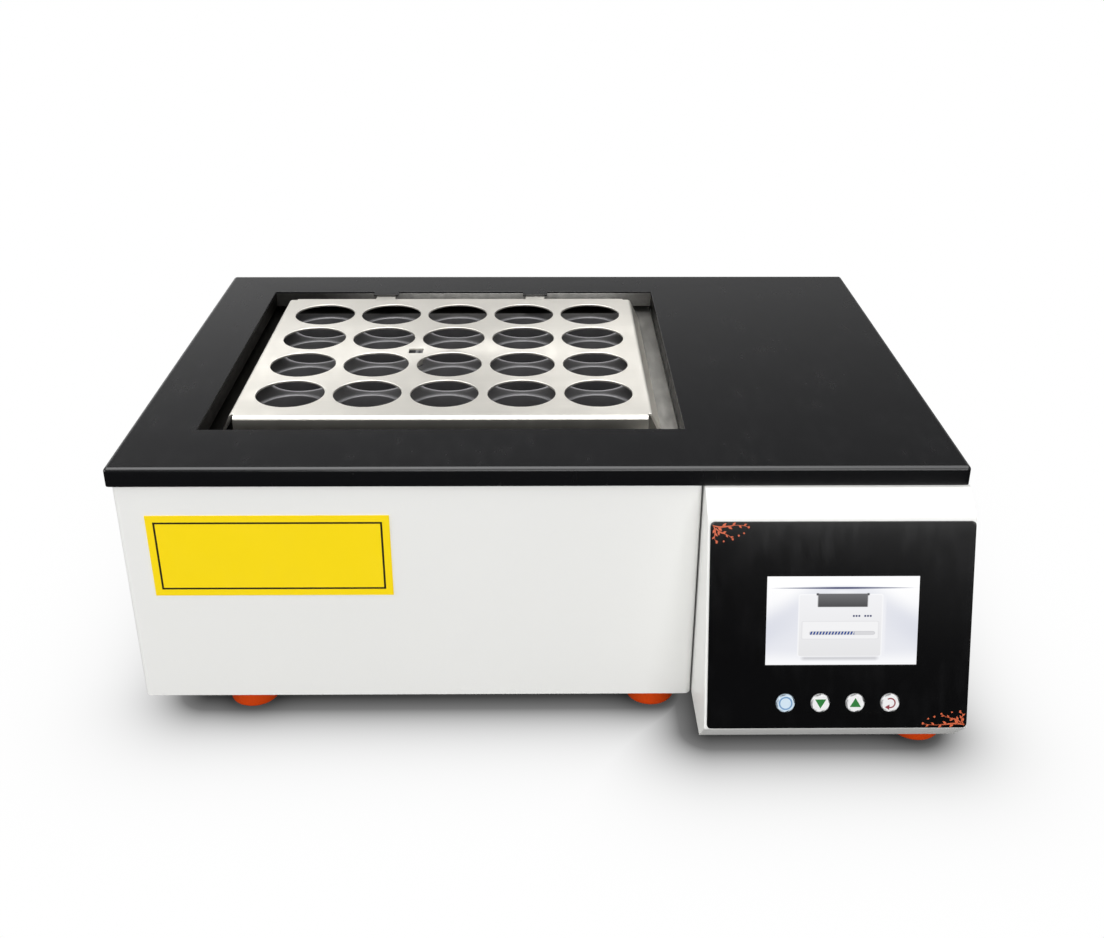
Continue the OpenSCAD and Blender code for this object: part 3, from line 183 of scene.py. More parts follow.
class Tree:
    """Adds nodes to one node tree. An input given as a socket is linked, any other value is set."""

    def __init__(self, tree):
        self.tree = tree

    def add(self, kind, settings=None, inputs=None, output=0):
        node = self.tree.nodes.new(kind)
        for key, value in (settings or {}).items():
            setattr(node, key, value)
        for key, value in (inputs or {}).items():
            self.feed(node.inputs[key], value)
        return node.outputs[output] if node.outputs else None

    def feed(self, socket, value):
        if isinstance(value, bpy.types.NodeSocket):
            self.tree.links.new(value, socket)
        elif socket.type == "RGBA" and len(value) == 3:
            socket.default_value = (*value, 1)
        else:
            socket.default_value = value

    def facing(self, axis):
        return self.part(self.add("ShaderNodeNewGeometry", output="Normal"), axis)

    def math(self, operation, a, b=0.0, clamp=False):
        return self.add("ShaderNodeMath", {"operation": operation, "use_clamp": clamp}, {0: a, 1: b})

    def plus(self, a, b):
        return self.math("ADD", a, b)

    def minus(self, a, b, clamp=False):
        return self.math("SUBTRACT", a, b, clamp)

    def times(self, a, b, clamp=False):
        return self.math("MULTIPLY", a, b, clamp)

    def vector(self, operation, a, b, output=0):
        return self.add("ShaderNodeVectorMath", {"operation": operation}, {0: a, 1: b}, output)

    def dot(self, a, b):
        return self.vector("DOT_PRODUCT", a, b, "Value")

    def part(self, vector, axis):
        return self.add("ShaderNodeSeparateXYZ", inputs={0: vector}, output=axis)

    def join(self, x, y, z=0.0):
        return self.add("ShaderNodeCombineXYZ", inputs={0: x, 1: y, 2: z})

    def mix(self, factor, a, b):
        return self.add("ShaderNodeMix", {"data_type": "RGBA"}, {0: factor, 6: a, 7: b}, 2)

    def remap(self, value, low, high, to_low=0.0, to_high=1.0, smooth=False):
        kind = "SMOOTHSTEP" if smooth else "LINEAR"
        return self.add("ShaderNodeMapRange", {"interpolation_type": kind},
                        {0: value, 1: low, 2: high, 3: to_low, 4: to_high})

    def noise(self, place, size, detail=2.0, roughness=0.5):
        return self.add("ShaderNodeTexNoise", inputs={
            "Vector": place, "Scale": 1 / size, "Detail": detail, "Roughness": roughness})

    def cells(self, place, size, output="Distance"):
        return self.add("ShaderNodeTexVoronoi", inputs={"Vector": place, "Scale": 1 / size}, output=output)

    def bump(self, height, depth, strength=1.0):
        return self.add("ShaderNodeBump", inputs={"Height": height, "Distance": depth, "Strength": strength})

    def group(self, group, inputs):
        return self.add("ShaderNodeGroup", {"node_tree": group}, inputs)


class Material(Tree):
    """The node tree of a new material, and the place on the object as its input."""

    def __init__(self, name):
        self.material = bpy.data.materials.new(name)
        self.material.use_nodes = True
        super().__init__(self.material.node_tree)
        self.tree.nodes.clear()
        self.place = self.add("ShaderNodeTexCoord", output="Object")

    def effect(self, group, **inputs):
        return self.group(group(), {"Place": self.place, **inputs})

    def on_face(self, face):
        """How far the place lies right of and above the middle of a face."""
        away = self.vector("SUBTRACT", self.place, face.centre)
        return self.dot(away, face.right), self.dot(away, face.up)

    def towards(self, direction):
        """1 on faces that look in a direction."""
        facing = self.dot(self.add("ShaderNodeNewGeometry", output="Normal"), direction)
        return self.math("GREATER_THAN", facing, 0.9)

    def surface(self, inputs):
        return self.end(self.add("ShaderNodeBsdfPrincipled", inputs=inputs))

    def end(self, shader):
        self.add("ShaderNodeOutputMaterial", inputs={"Surface": shader})
        return self.material


def shared(inputs):
    """Turns a function that adds nodes into one that gives their group, which is built once.

    inputs maps a name to its default, or to None for a vector. The outputs are numbers.
    """
    def as_group(build):
        def give():
            group = bpy.data.node_groups.get(build.__name__)
            if group:
                return group
            group = bpy.data.node_groups.new(build.__name__, "ShaderNodeTree")
            for name, default in inputs.items():
                kind = "NodeSocketVector" if default is None else "NodeSocketFloat"
                socket = group.interface.new_socket(name, in_out="INPUT", socket_type=kind)
                if default is not None:
                    socket.default_value = default
            tree = Tree(group)
            results = build(tree, group.nodes.new("NodeGroupInput").outputs)
            for name in results:
                group.interface.new_socket(name, in_out="OUTPUT", socket_type="NodeSocketFloat")
            taken = group.nodes.new("NodeGroupOutput").inputs
            for name, value in results.items():
                tree.feed(taken[name], value)
            return group
        return give
    return as_group


# ---- Effects that several finishes share ----

@shared({"Place": None, "Size": 0.001})
def coat_grain(tree, given):
    """Orange peel of a powder coat, and a slow drift of its tone."""
    size = tree.math("DIVIDE", 1.0, given["Size"])
    peel = tree.add("ShaderNodeTexNoise", inputs={
        "Vector": given["Place"], "Scale": size, "Detail": 2.0, "Roughness": 0.45})
    return {"Height": peel, "Drift": tree.noise(given["Place"], 0.09, 3.0)}


@shared({"Place": None})
def brushed_lines(tree, given):
    """Fine lines along X, as a brush leaves them on sheet metal."""
    lines, bands = (
        tree.noise(tree.vector("MULTIPLY", given["Place"], stretch), 1.0, 3.0, 0.6)
        for stretch in ((14, 2600, 2600), (5, 420, 420)))
    return {"Height": lines, "Shade": tree.plus(tree.times(lines, 0.6), tree.times(bands, 0.4))}


@shared({"Place": None})
def handling_marks(tree, given):
    """Patches where hands and cloths have left the surface duller."""
    patches = tree.noise(given["Place"], 0.035, 4.0, 0.6)
    wipes = tree.noise(tree.vector("MULTIPLY", given["Place"], (1, 0.25, 0.25)), 0.006, 3.0, 0.55)
    return {"Mask": tree.remap(tree.times(patches, wipes), 0.22, 0.42)}


@shared({"Place": None, "Width": 0.0004})
def sharp_edges(tree, given):
    """1 along sharp edges, 0 on flat faces, broken up by a grain."""
    rounded = tree.add("ShaderNodeBevel", {"samples": 6}, {"Radius": given["Width"]})
    flat = tree.add("ShaderNodeNewGeometry", output="Normal")
    edge = tree.remap(tree.minus(1.0, tree.dot(rounded, flat)), 0.02, 0.25)
    grain = tree.remap(tree.noise(given["Place"], 0.0016, 3.0), 0.25, 0.6)
    return {"Mask": tree.times(edge, grain, clamp=True)}


@shared({"Place": None, "Centre": None, "Half size": None, "Corner": 0.001, "Rim": 0.0001})
def print_and_shadow_card(tree, given):
    """1 inside a rounded rectangle, 0 outside, over a soft rim. Its first input is in the face's plane."""
    offset = tree.vector("SUBTRACT", given["Place"], given["Centre"])
    distance = tree.add("ShaderNodeVectorMath", {"operation": "ABSOLUTE"}, {0: offset})
    inner = tree.vector("SUBTRACT", given["Half size"], tree.join(given["Corner"], given["Corner"]))
    beyond = tree.vector("MAXIMUM", tree.vector("SUBTRACT", distance, inner), (0, 0, 0))
    beyond = tree.vector("MULTIPLY", beyond, (1, 1, 0))
    past = tree.minus(tree.vector("LENGTH", beyond, (0, 0, 0), "Value"), given["Corner"])
    return {"Mask": tree.minus(0.5, tree.math("DIVIDE", past, given["Rim"]), clamp=True)}


@shared({"Place": None})
def fine_dust(tree, given):
    """Sparse bright specks of dust."""
    speck = tree.remap(tree.cells(given["Place"], 0.014), 0.012, 0.02, 1.0, 0.0)
    some = tree.remap(tree.noise(given["Place"], 0.03), 0.6, 0.64)
    return {"Mask": tree.times(speck, some)}


# ---- Finishes ----

def scaled(tint, share):
    return tuple(min(c * share, 1) for c in tint)


def powder_coat(name, tint, roughness, peel_size, peel_depth, drift, dust=None):
    """Powder-coated sheet steel."""
    tree = Material(name)
    grain = tree.effect(coat_grain, Size=peel_size).node
    marks = tree.effect(handling_marks)
    darker = scaled(tint, 1 - drift)
    base = tree.mix(grain.outputs["Drift"], tint, darker)
    if dust:
        base = tree.mix(tree.effect(fine_dust), base, dust)
    return tree.surface({
        "Base Color": base,
        "Roughness": tree.remap(marks, 0, 1, roughness, roughness + 0.03),
        "Normal": tree.bump(grain.outputs["Height"], peel_depth, 0.5)})


def brushed_steel(name, tint, roughness, depth, edge_highlight=0.0, top_metallic=1.0):
    """Brushed sheet with lines along X, and when given a width, a painted highlight along its sharp edges. Faces
    that look up can be less metallic.
    """
    tree = Material(name)
    lines = tree.effect(brushed_lines).node
    marks = tree.effect(handling_marks)
    dark = scaled(tint, 0.9)
    base = tree.mix(lines.outputs["Shade"], dark, tint)
    # Sharp edges painted lighter, as a highlight.
    if edge_highlight:
        painted_bright = scaled(tint, 1.15)
        edge = tree.effect(sharp_edges, Width=edge_highlight)
        base = tree.mix(edge, base, painted_bright)
    rough = tree.plus(tree.times(lines.outputs["Shade"], 0.12),
                      tree.times(marks, 0.05))
    return tree.surface({
        "Base Color": base, "Metallic": tree.remap(tree.facing("Z"), 0.3, 0.8, 1.0, top_metallic),
        "Roughness": tree.plus(rough, roughness - 0.06),
        "Anisotropic": 0.35,
        "Normal": tree.bump(lines.outputs["Height"], depth, 0.35)})


def painted_reflection_steel(name, scale, painted_bright, reflecting):
    """Stainless sheet with painted light: a painted reflection where the mask function given last is 1, painted
    shade elsewhere.
    """
    tree = Material(name)
    place = tree.place
    # Streaks that break up the painted reflection and vary the roughness
    mottle = tree.noise(tree.vector("MULTIPLY", place, (1, 0.25, 1)), 0.004, 3.0)
    left = tree.times(reflecting(tree, place), tree.remap(mottle, 0.3, 0.7, 0.75, 1.0))
    return tree.surface({
        "Base Color": tree.mix(left, scale, painted_bright), "Metallic": 0.5,
        "Specular IOR Level": tree.remap(left, 0, 1, 0.1, 0.5),
        "Roughness": tree.remap(mottle, 0.3, 0.7, 0.3, 0.42),
        "Normal": tree.bump(tree.noise(place, 0.0012), 0.00001, 0.3)})


def reflecting_rear_wall(tree, place):
    """Mask of the painted reflection on the collar's rear wall, brightest in its middle."""
    low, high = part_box("opening_collar")
    x = tree.part(place, "X")
    ends = tree.times(tree.remap(x, low.x + 0.03, low.x + 0.15, 0.06, 1.0, True),
                     tree.remap(x, high.x - 0.01, high.x - 0.045, 0.25, 1.0, True))
    return tree.times(tree.remap(tree.facing("Y"), -0.4, -0.9), ends)


def reflecting_right_end(tree, place):
    """Mask of the painted reflection on the ledge at the control box's side, brightest at the front."""
    low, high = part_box("ledge_frame")
    right = tree.remap(tree.part(place, "X"), high.x - 0.03, high.x - 0.02)
    return tree.times(right, tree.remap(tree.part(place, "Y"), low.y, high.y, 1.0, 0.4))


def zinc_plate(tint):
    """Zinc-plated steel with faint crystals."""
    tree = Material("zinc_plate")
    place = tree.place
    crystals = tree.add("ShaderNodeSeparateColor", inputs={0: tree.cells(place, 0.006, "Color")})
    marks = tree.effect(handling_marks)
    dark = scaled(tint, 0.8)
    return tree.surface({
        "Base Color": tree.mix(crystals, dark, tint), "Metallic": 1.0,
        "Roughness": tree.remap(marks, 0, 1, 0.3, 0.42),
        "Normal": tree.bump(tree.noise(place, 0.0008), 0.00003, 0.3)})


def well_rim_highlights(tree, place):
    """1 on the edges of the wells' mouths, fading outwards, strongest at the front: a painted highlight."""
    width, front_half = 0.0026, 0.6 * WELLS.mouth
    from_first = tree.vector("SUBTRACT", place, (*WELLS.first, 0))
    across, deep = (
        tree.add("ShaderNodeMath", {"operation": "WRAP"}, {
            0: tree.part(from_first, axis), 1: pitch / 2, 2: -pitch / 2})
        for axis, pitch in zip("XY", WELLS.pitch))
    reach = tree.vector("LENGTH", tree.join(across, deep), (0, 0, 0), "Value")
    rim = tree.remap(reach, WELLS.mouth, WELLS.mouth + width, 1.0, 0.0)
    side = tree.remap(deep, -front_half, front_half, 1.0, 0.3)
    side = tree.times(side, tree.remap(tree.facing("Z"), 0.9, 0.98))
    from_middle = tree.vector("SUBTRACT", place, (*WELLS.middle, 0))
    for axis, end in zip("XY", WELLS.ends):
        beyond = tree.math("GREATER_THAN", tree.math("ABSOLUTE", tree.part(from_middle, axis)), end)
        side = tree.minus(side, beyond, clamp=True)
    return tree.times(rim, side)


def machined_graphite(tint):
    """Satin graphite with turning rings in the wells, and painted highlights round their mouths, on chamfers and
    along sharp edges.
    """
    tree = Material("machined_graphite")
    place = tree.place
    pores = tree.noise(place, 0.0007, 4.0, 0.65)
    cloud = tree.noise(place, 0.018, 3.0)
    rings = tree.noise(tree.vector("MULTIPLY", place, (12, 12, 2200)), 1.0, 2.0)
    height = tree.plus(tree.times(pores, 0.6), tree.times(rings, 0.4))
    dark = scaled(tint, 0.72)
    # Six times the tint: the colour of the painted highlights
    light = scaled(tint, 6)
    edge = tree.effect(sharp_edges, Width=0.0008)
    # Chamfers at 45 degrees get a faint painted highlight.
    slope = tree.math("ABSOLUTE", tree.minus(tree.facing("Z"), 0.707))
    bevel = tree.remap(slope, 0.1, 0.25, 0.14, 0.0)
    painted_highlight = tree.math("MAXIMUM", bevel, well_rim_highlights(tree, place))
    painted_highlight = tree.math("MAXIMUM", tree.times(edge, 0.5), painted_highlight)
    base = tree.mix(painted_highlight, tree.mix(cloud, dark, tint), light)
    return tree.surface({
        "Base Color": base, "Metallic": 0.25,
        "Roughness": tree.remap(cloud, 0.3, 0.7, 0.34, 0.46),
        "Normal": tree.bump(height, 0.00006, 0.5)})


def cast_metal(tint):
    tree = Material("cast_metal")
    place = tree.place
    skin = tree.noise(place, 0.0012, 4.0, 0.6)
    dark = scaled(tint, 0.82)
    return tree.surface({
        "Base Color": tree.mix(skin, dark, tint), "Metallic": 1.0,
        "Roughness": tree.remap(skin, 0.3, 0.7, 0.34, 0.5),
        "Normal": tree.bump(skin, 0.00008, 0.5)})


def mineral(name, tint, grain, depth, roughness, stretch=(1, 1, 1), specular=0.5):
    """Ceramic, fibre board, rubber and moulded plastic: a matt body with its own grain."""
    tree = Material(name)
    place = tree.place
    fine = tree.noise(tree.vector("MULTIPLY", place, stretch), grain, 4.0, 0.6)
    slow = tree.noise(place, grain * 22, 2.0)
    dark = scaled(tint, 0.82)
    return tree.surface({
        "Base Color": tree.mix(slow, dark, tint), "Specular IOR Level": specular,
        "Roughness": tree.remap(fine, 0.3, 0.7, roughness - 0.06, roughness + 0.06),
        "Normal": tree.bump(fine, depth, 0.6)})


def label_film(tint, frame_in, frame_line):
    """Plain plastic film plate with one black frame line."""
    tree = Material("label_film")
    place = tree.place
    flat = tree.join(*tree.on_face(LABEL))
    half = Vector((LABEL.width / 2 - frame_in, LABEL.height / 2 - frame_in, 1))
    step = Vector((frame_line, frame_line, 0))
    rim = {"Place": flat, "Centre": (0, 0, 0), "Corner": 0.0002, "Rim": 0.00012}
    outer = tree.group(print_and_shadow_card(), {**rim, "Half size": half})
    inner = tree.group(print_and_shadow_card(), {**rim, "Half size": half - step})
    line = tree.minus(outer, inner, clamp=True)
    tone = tree.noise(place, 0.03, 3.0)
    worn = scaled(tint, 0.96)
    black = (0.012, 0.011, 0.01)
    base = tree.mix(tree.times(line, tree.towards(LABEL.out)), tree.mix(tone, tint, worn), black)
    return tree.surface({
        "Base Color": base, "Specular IOR Level": 0.3,
        "Roughness": tree.remap(tree.effect(handling_marks), 0, 1, 0.3, 0.4),
        "Normal": tree.bump(tree.noise(place, 0.004), 0.00003, 0.3)})


def gloss_panel(tint):
    """Glossy black acrylic with faint wiping marks."""
    tree = Material("gloss_panel")
    place = tree.place
    marks = tree.effect(handling_marks)
    return tree.surface({
        "Base Color": tree.mix(marks, tint, scaled(tint, 1.6)),
        "Roughness": tree.remap(marks, 0, 1, 0.11, 0.14),
        "Normal": tree.bump(tree.noise(place, 0.02), 0.00004, 0.2)})


def printed_ink(name, tint, roughness=0.45):
    tree = Material(name)
    place = tree.place
    cover = tree.noise(place, 0.0012, 3.0)
    thin = scaled(tint, 0.8)
    return tree.surface({
        "Base Color": tree.mix(cover, thin, tint),
        "Roughness": tree.remap(cover, 0.3, 0.7, roughness - 0.08, roughness + 0.05),
        "Normal": tree.bump(cover, 0.00001, 0.4)})


def key_cap(name, tint):
    """Smooth white key, slightly darker to its rim."""
    tree = Material(name)
    place = tree.place
    tone = tree.noise(place, 0.006, 2.0)
    edge = tree.effect(sharp_edges, Width=0.0009)
    faded, dull = scaled(tint, 0.97), scaled(tint, 0.78)
    base = tree.mix(tree.times(edge, 0.2), tree.mix(tone, tint, faded), dull)
    return tree.surface({
        "Base Color": base,
        "Roughness": tree.remap(tone, 0.3, 0.7, 0.28, 0.36),
        "Normal": tree.bump(tree.noise(place, 0.0006), 0.00001, 0.3)})


def circuit_board(tint, seen):
    """Solder resist with tracks, and darker parts where the face isn't the board's own."""
    tree = Material("circuit_board")
    place = tree.place
    tracks = tree.add("ShaderNodeTexBrick", {"offset": 0.37}, {
        "Vector": place, "Scale": 240.0, "Color1": seen, "Color2": tint,
        "Mortar": scaled(tint, 1.9), "Mortar Size": 0.02})
    pads = tree.remap(tree.cells(place, 0.0032), 0.1, 0.14, 1.0, 0.0)
    base = tree.mix(tree.times(pads, 0.85), tracks, (0.62, 0.6, 0.52))
    return tree.surface({
        "Base Color": base,
        "Roughness": tree.remap(pads, 0, 1, 0.42, 0.25),
        "Normal": tree.bump(pads, 0.00005, 0.5)})


def screen_picture():
    """Lit start page without words: header rule, card, device block and progress bar on soft sweeps."""
    tree = Material("screen_picture")
    x, y = tree.on_face(SCREEN)
    across = tree.plus(tree.math("DIVIDE", x, SCREEN.width), 0.5)
    down = tree.minus(0.5, tree.math("DIVIDE", y, SCREEN.height))
    flat = tree.join(across, down)

    def card(x0, x1, y0, y1, corner=0.008, rim=0.008):
        return tree.group(print_and_shadow_card(), {
            "Place": flat, "Centre": ((x0 + x1) / 2, (y0 + y1) / 2, 0),
            "Half size": ((x1 - x0) / 2, (y1 - y0) / 2, 1), "Corner": corner, "Rim": rim})

    white, haze, navy, grey = (0.985, 0.985, 0.99), (0.66, 0.68, 0.76), (0.02, 0.03, 0.12), (0.68, 0.68, 0.7)
    side = tree.math("ABSOLUTE", tree.minus(across, 0.5))
    fade = tree.remap(side, 0.05, 0.47, 1, 0.01)
    rule = tree.math("DIVIDE", tree.math("ABSOLUTE", tree.minus(down, 0.132)), fade)
    face = tree.mix(tree.remap(down, 0.2, 0.9), (0.88, 0.88, 0.9), (0.78, 0.78, 0.79))
    block = tree.mix(tree.remap(down, 0.2, 0.35), (0.15, 0.15, 0.155), (0.06, 0.06, 0.062))
    slant = tree.plus(across, tree.times(down, 0.22))
    ticks = tree.math("FRACT", tree.times(slant, 49.0))
    tick = tree.remap(tree.math("ABSOLUTE", tree.minus(ticks, 0.5)), 0.24, 0.32, 1, 0)
    left, right, top, bottom = 0.285, 0.718, 0.618, 0.66
    done = card(0.288, 0.582, top + 0.004, bottom - 0.003, 0.004)

    # Each layer, from the lowest up, is a mask, a colour and how strongly it covers
    layers = []
    for lean, start, strength in ((1.1, 0.02, 0.55), (0.75, 0.3, 0.4)):
        sweep = tree.math("ABSOLUTE", tree.minus(down, tree.plus(tree.times(side, lean), start)))
        layers.append((tree.remap(sweep, 0.0, 0.26, 1, 0, True), haze, strength))
    layers += [
        (tree.remap(down, 0.8, 1.0, smooth=True), white, 0.75),
        (tree.remap(down, 0.1, 0.16, 1, 0), white, 1),
        (tree.remap(rule, 0.008, 0.03, 1, 0), haze, 0.8),
        (tree.remap(rule, 0.007, 0.012, 1, 0), navy, 1),
        (card(0.25, 0.73, 0.915, 0.935, 0.01, 0.05), (0.12, 0.12, 0.14), 0.55),
        (card(0.235, 0.785, 0.2, 0.9, 0.02, 0.012), (0.86, 0.865, 0.9), 0.8),
        (card(0.21, 0.765, 0.2, 0.905, 0.02), (0.95, 0.95, 0.96), 1),
        (card(0.216, 0.759, 0.21, 0.9, 0.018), face, 1)]
    for x in (0.334, 0.666):
        layers.append((card(x - 0.008, x + 0.008, 0.19, 0.215, 0.006), (0.03, 0.03, 0.035), 1))
    layers += [
        (card(0.336, 0.664, 0.195, 0.345, 0.006), block, 1),
        (card(0.235, 0.742, 0.505, 0.708, 0.014), grey, 1),
        (card(0.238, 0.739, 0.509, 0.704, 0.012), (0.88, 0.88, 0.89), 1)]
    for dot in (x + i * 0.018 for i in range(3) for x in (0.575, 0.65)):
        layers.append((card(dot - 0.006, dot + 0.006, 0.436, 0.457, 0.004, 0.004), navy, 1))
    layers += [
        (card(left, right, top, bottom, 0.018), (0.55, 0.55, 0.57), 1),
        (card(left + 0.004, right - 0.004, top + 0.006, bottom - 0.004, 0.014), grey, 1),
        (tree.times(tick, done), (0.008, 0.05, 0.26), 1)]

    picture = tree.mix(tree.remap(down, 0.1, 0.75, smooth=True), white, (0.8, 0.81, 0.86))
    for mask, tint, strength in layers:
        picture = tree.mix(tree.times(mask, strength), picture, tint)
    return tree.surface({
        "Base Color": (0.01, 0.01, 0.012), "Roughness": 0.12, "Specular IOR Level": 0.3,
        "Emission Color": tree.mix(tree.towards(SCREEN.out), (0, 0, 0), picture), "Emission Strength": 1.0})


def make_finishes(tints):
    """One material for each finish, named by the record's material slot."""
    return {
        "black_cover": powder_coat("cover_coat", tints.cover, 0.25, 0.0011, 0.00004, 0.12, (0.3, 0.3, 0.3)),
        "stainless": brushed_steel("satin_stainless", tints.steel, 0.4, 0.00002, 0.0005, 0.72),
        "graphite": machined_graphite(tints.graphite),
        "zinc_steel": zinc_plate(tints.zinc),
        "ceramic": mineral("steatite", tints.ceramic, 0.0009, 0.00006, 0.5),
        "insulation": mineral("fibre_board", tints.fibre, 0.0014, 0.0003, 0.9, (0.3, 0.3, 1.6)),
        "cast_aluminium": cast_metal(tints.aluminium),
        "white_paint": powder_coat("body_coat", tints.body, 0.42, 0.0013, 0.00005, 0.03),
        "black_panel": gloss_panel(tints.panel),
        "display": screen_picture(),
        "circuit_board": circuit_board(tints.board, scaled(tints.board, 0.75)),
        "key_white": key_cap("key_white_cap", tints.key),
        "black_plastic": mineral("moulded_plastic", tints.plastic, 0.0005, 0.00004, 0.45),
        "red_rocker": mineral("rocker_plastic", tints.rocker, 0.0009, 0.00001, 0.24),
        "brass": brushed_steel("brass", tints.brass, 0.3, 0.00001),
        "orange_rubber": mineral("orange_rubber", tints.foot, 0.0007, 0.00005, 0.5, specular=0.15),
        "black_rubber": mineral("black_rubber", tints.rubber, 0.0007, 0.00006, 0.62),
    }


_finishes = {}


def finish_of(slot):
    if not _finishes:
        _finishes.update(make_finishes(bpy.context.scene.digester_colours))
    return _finishes[slot]


# ---- Meshes ----

def paint(obj, material):
    if obj.material_slots:
        for slot in obj.material_slots:
            slot.material = material
    else:
        obj.data.materials.append(material)
    return obj


def soften(obj, width, segments=2, angle=35):
    """Rounds the edges of a piece without touching its mesh."""
    weld = obj.modifiers.new("weld", "WELD")
    weld.merge_threshold = 1e-6
    bevel = obj.modifiers.new("edge", "BEVEL")
    bevel.width = width
    bevel.segments = segments
    bevel.limit_method = "ANGLE"
    bevel.angle_limit = math.radians(angle)
    bevel.use_clamp_overlap = False
    bevel.miter_outer = "MITER_ARC"
    normals = obj.modifiers.new("normals", "WEIGHTED_NORMAL")
    normals.weight = 60
    return obj


def coat(node, material, width, segments=2):
    """Gives a CAD node its finish and rounds its edges."""
    soften(paint(frame["nodes"][node], material), width, segments)


def dress(nodes, slot, width, segments=2):
    for node in nodes:
        coat(node, finish_of(slot), width, segments)


def new_object(name, data):
    obj = bpy.data.objects.new(name, data)
    bpy.context.scene.collection.objects.link(obj)
    return obj


def mesh_object(name, shape):
    """A new object of bmesh geometry, its faces turned outwards."""
    mesh = bpy.data.meshes.new(name)
    bmesh.ops.recalc_face_normals(shape, faces=shape.faces)
    shape.to_mesh(mesh)
    shape.free()
    return new_object(name, mesh)


def new_piece(name, shape, material, body):
    """A new object from bmesh geometry that rides on a body and takes the material it is given."""
    obj = paint(mesh_object(name, shape), material)
    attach(obj, body)
    return obj


def add_outline(shape, outline, thickness, place):
    """Adds a flat solid to a bmesh: an outline in a face's plane, thickened outwards."""
    low = [shape.verts.new(place @ Vector((x, y, 0))) for x, y in outline]
    high = [shape.verts.new(place @ Vector((x, y, thickness))) for x, y in outline]
    shape.faces.new(reversed(low))
    shape.faces.new(high)
    for i, (a, b) in enumerate(zip(low, high)):
        j = (i + 1) % len(low)
        shape.faces.new((a, low[j], high[j], b))


def add_band(shape, left, right, thickness, place, closed=False):
    """Adds a flat solid between two lines of as many points, such as a ring or a curved stroke."""
    rows = []
    for a, b in zip(left, right):
        corners = [(*a, 0), (*b, 0), (*b, thickness), (*a, thickness)]
        rows.append([shape.verts.new(place @ Vector(c)) for c in corners])
    last = len(rows) if closed else len(rows) - 1
    for i in range(last):
        here, there = rows[i], rows[(i + 1) % len(rows)]
        for k in range(4):
            m = (k + 1) % 4
            shape.faces.new((here[k], here[m], there[m], there[k]))
    if not closed:
        shape.faces.new(reversed(rows[0]))
        shape.faces.new(rows[-1])


def revolve(shape, profile, place, steps):
    """Adds a turned solid: profile points (radius, height) from the axis out and back to it."""
    rings = []
    for radius, height in profile:
        if radius == 0:
            rings.append([shape.verts.new(place @ Vector((0, 0, height)))])
            continue
        angles = [2 * math.pi * k / steps for k in range(steps)]
        rings.append([shape.verts.new(place @ Vector((radius * math.cos(a), radius * math.sin(a), height)))
                      for a in angles])
    for low, high in zip(rings, rings[1:]):
        for k in range(steps):
            m = (k + 1) % steps
            corners = [low[k % len(low)], low[m % len(low)], high[m % len(high)], high[k % len(high)]]
            shape.faces.new(list(dict.fromkeys(corners)))


def arc_points(centre, radius, start, end, steps):
    """Points along an arc in degrees, as (x, y)."""
    angles = [math.radians(start + (end - start) * k / steps) for k in range(steps + 1)]
    return [(centre[0] + radius * math.cos(a), centre[1] + radius * math.sin(a)) for a in angles]


def smooth_faces(obj, angle=30):
    for polygon in obj.data.polygons:
        polygon.use_smooth = True
    obj.data.set_sharp_from_angle(angle=math.radians(angle))
    return obj


def islands(node):
    """Boxes (lowest corner, highest corner) of the separate solids of a node."""
    shape = bmesh.new()
    shape.from_mesh(frame["nodes"][node].data)
    bmesh.ops.remove_doubles(shape, verts=shape.verts, dist=1e-6)
    waiting = set(shape.verts)
    boxes = []
    while waiting:
        edge = [waiting.pop()]
        group = []
        while edge:
            vertex = edge.pop()
            group.append(vertex.co.copy())
            for link in vertex.link_edges:
                other = link.other_vert(vertex)
                if other in waiting:
                    waiting.remove(other)
                    edge.append(other)
        boxes.append((Vector(map(min, zip(*group))), Vector(map(max, zip(*group)))))
    shape.free()
    return sorted(boxes, key=lambda box: tuple(round(c, 5) for c in box[0]))


# ---- Printed signs and ornaments ----

def bezier(a, b, c, d, steps):
    points = []
    for k in range(steps + 1):
        t = k / steps
        weights = ((1 - t) ** 3, 3 * t * (1 - t) ** 2, 3 * t * t * (1 - t), t ** 3)
        points.append(Vector([sum(w * p[i] for w, p in zip(weights, (a, b, c, d))) for i in (0, 1)]))
    return points


def stroke(shape, points, width, thickness, place):
    """A stem that tapers to both ends."""
    left, right = [], []
    for i, point in enumerate(points):
        ahead = points[min(i + 1, len(points) - 1)] - points[max(i - 1, 0)]
        side = Vector((-ahead.y, ahead.x)).normalized()
        share = i / (len(points) - 1)
        half = width / 2 * (0.25 + 0.75 * math.sin(math.pi * min(share * 1.4 + 0.1, 1.0)))
        left.append(tuple(point + side * half))
        right.append(tuple(point - side * half))
    add_band(shape, left, right, thickness, place)


def petal(shape, root, heading, long, wide, thickness, place):
    """A pointed leaf: two arcs from its root to its tip."""
    ahead = Vector((math.cos(heading), math.sin(heading)))
    side = Vector((-ahead.y, ahead.x))
    steps = 8
    outline = []
    for sign, ks in ((1, range(steps)), (-1, range(steps, 0, -1))):
        for k in ks:
            share = k / steps
            swell = math.sin(math.pi * share ** 0.8) * wide / 2
            outline.append(tuple(root + ahead * long * share + side * swell * sign))
    add_outline(shape, outline[::-1], thickness, place)


def sprig(shape, stem, width, leaves, leaf, thickness, place):
    """A curved stem with leaves that shrink towards its tip, on both sides in turn, and a bud."""
    points = bezier(*stem, 24)
    stroke(shape, points, width, thickness, place)
    for i in range(leaves):
        at = 4 + round(i * 17 / max(leaves - 1, 1))
        ahead = points[at + 1] - points[at - 1]
        side = 1 if i % 2 else -1
        heading = math.atan2(ahead.y, ahead.x) + side * math.radians(42)
        long = leaf * (1 - 0.45 * i / leaves)
        petal(shape, points[at], heading, long, long * 0.46, thickness, place)
    bud = [tuple(points[-1] + Vector(p)) for p in arc_points((0, 0), width * 0.75, 0, 345, 12)]
    add_outline(shape, bud, thickness, place)


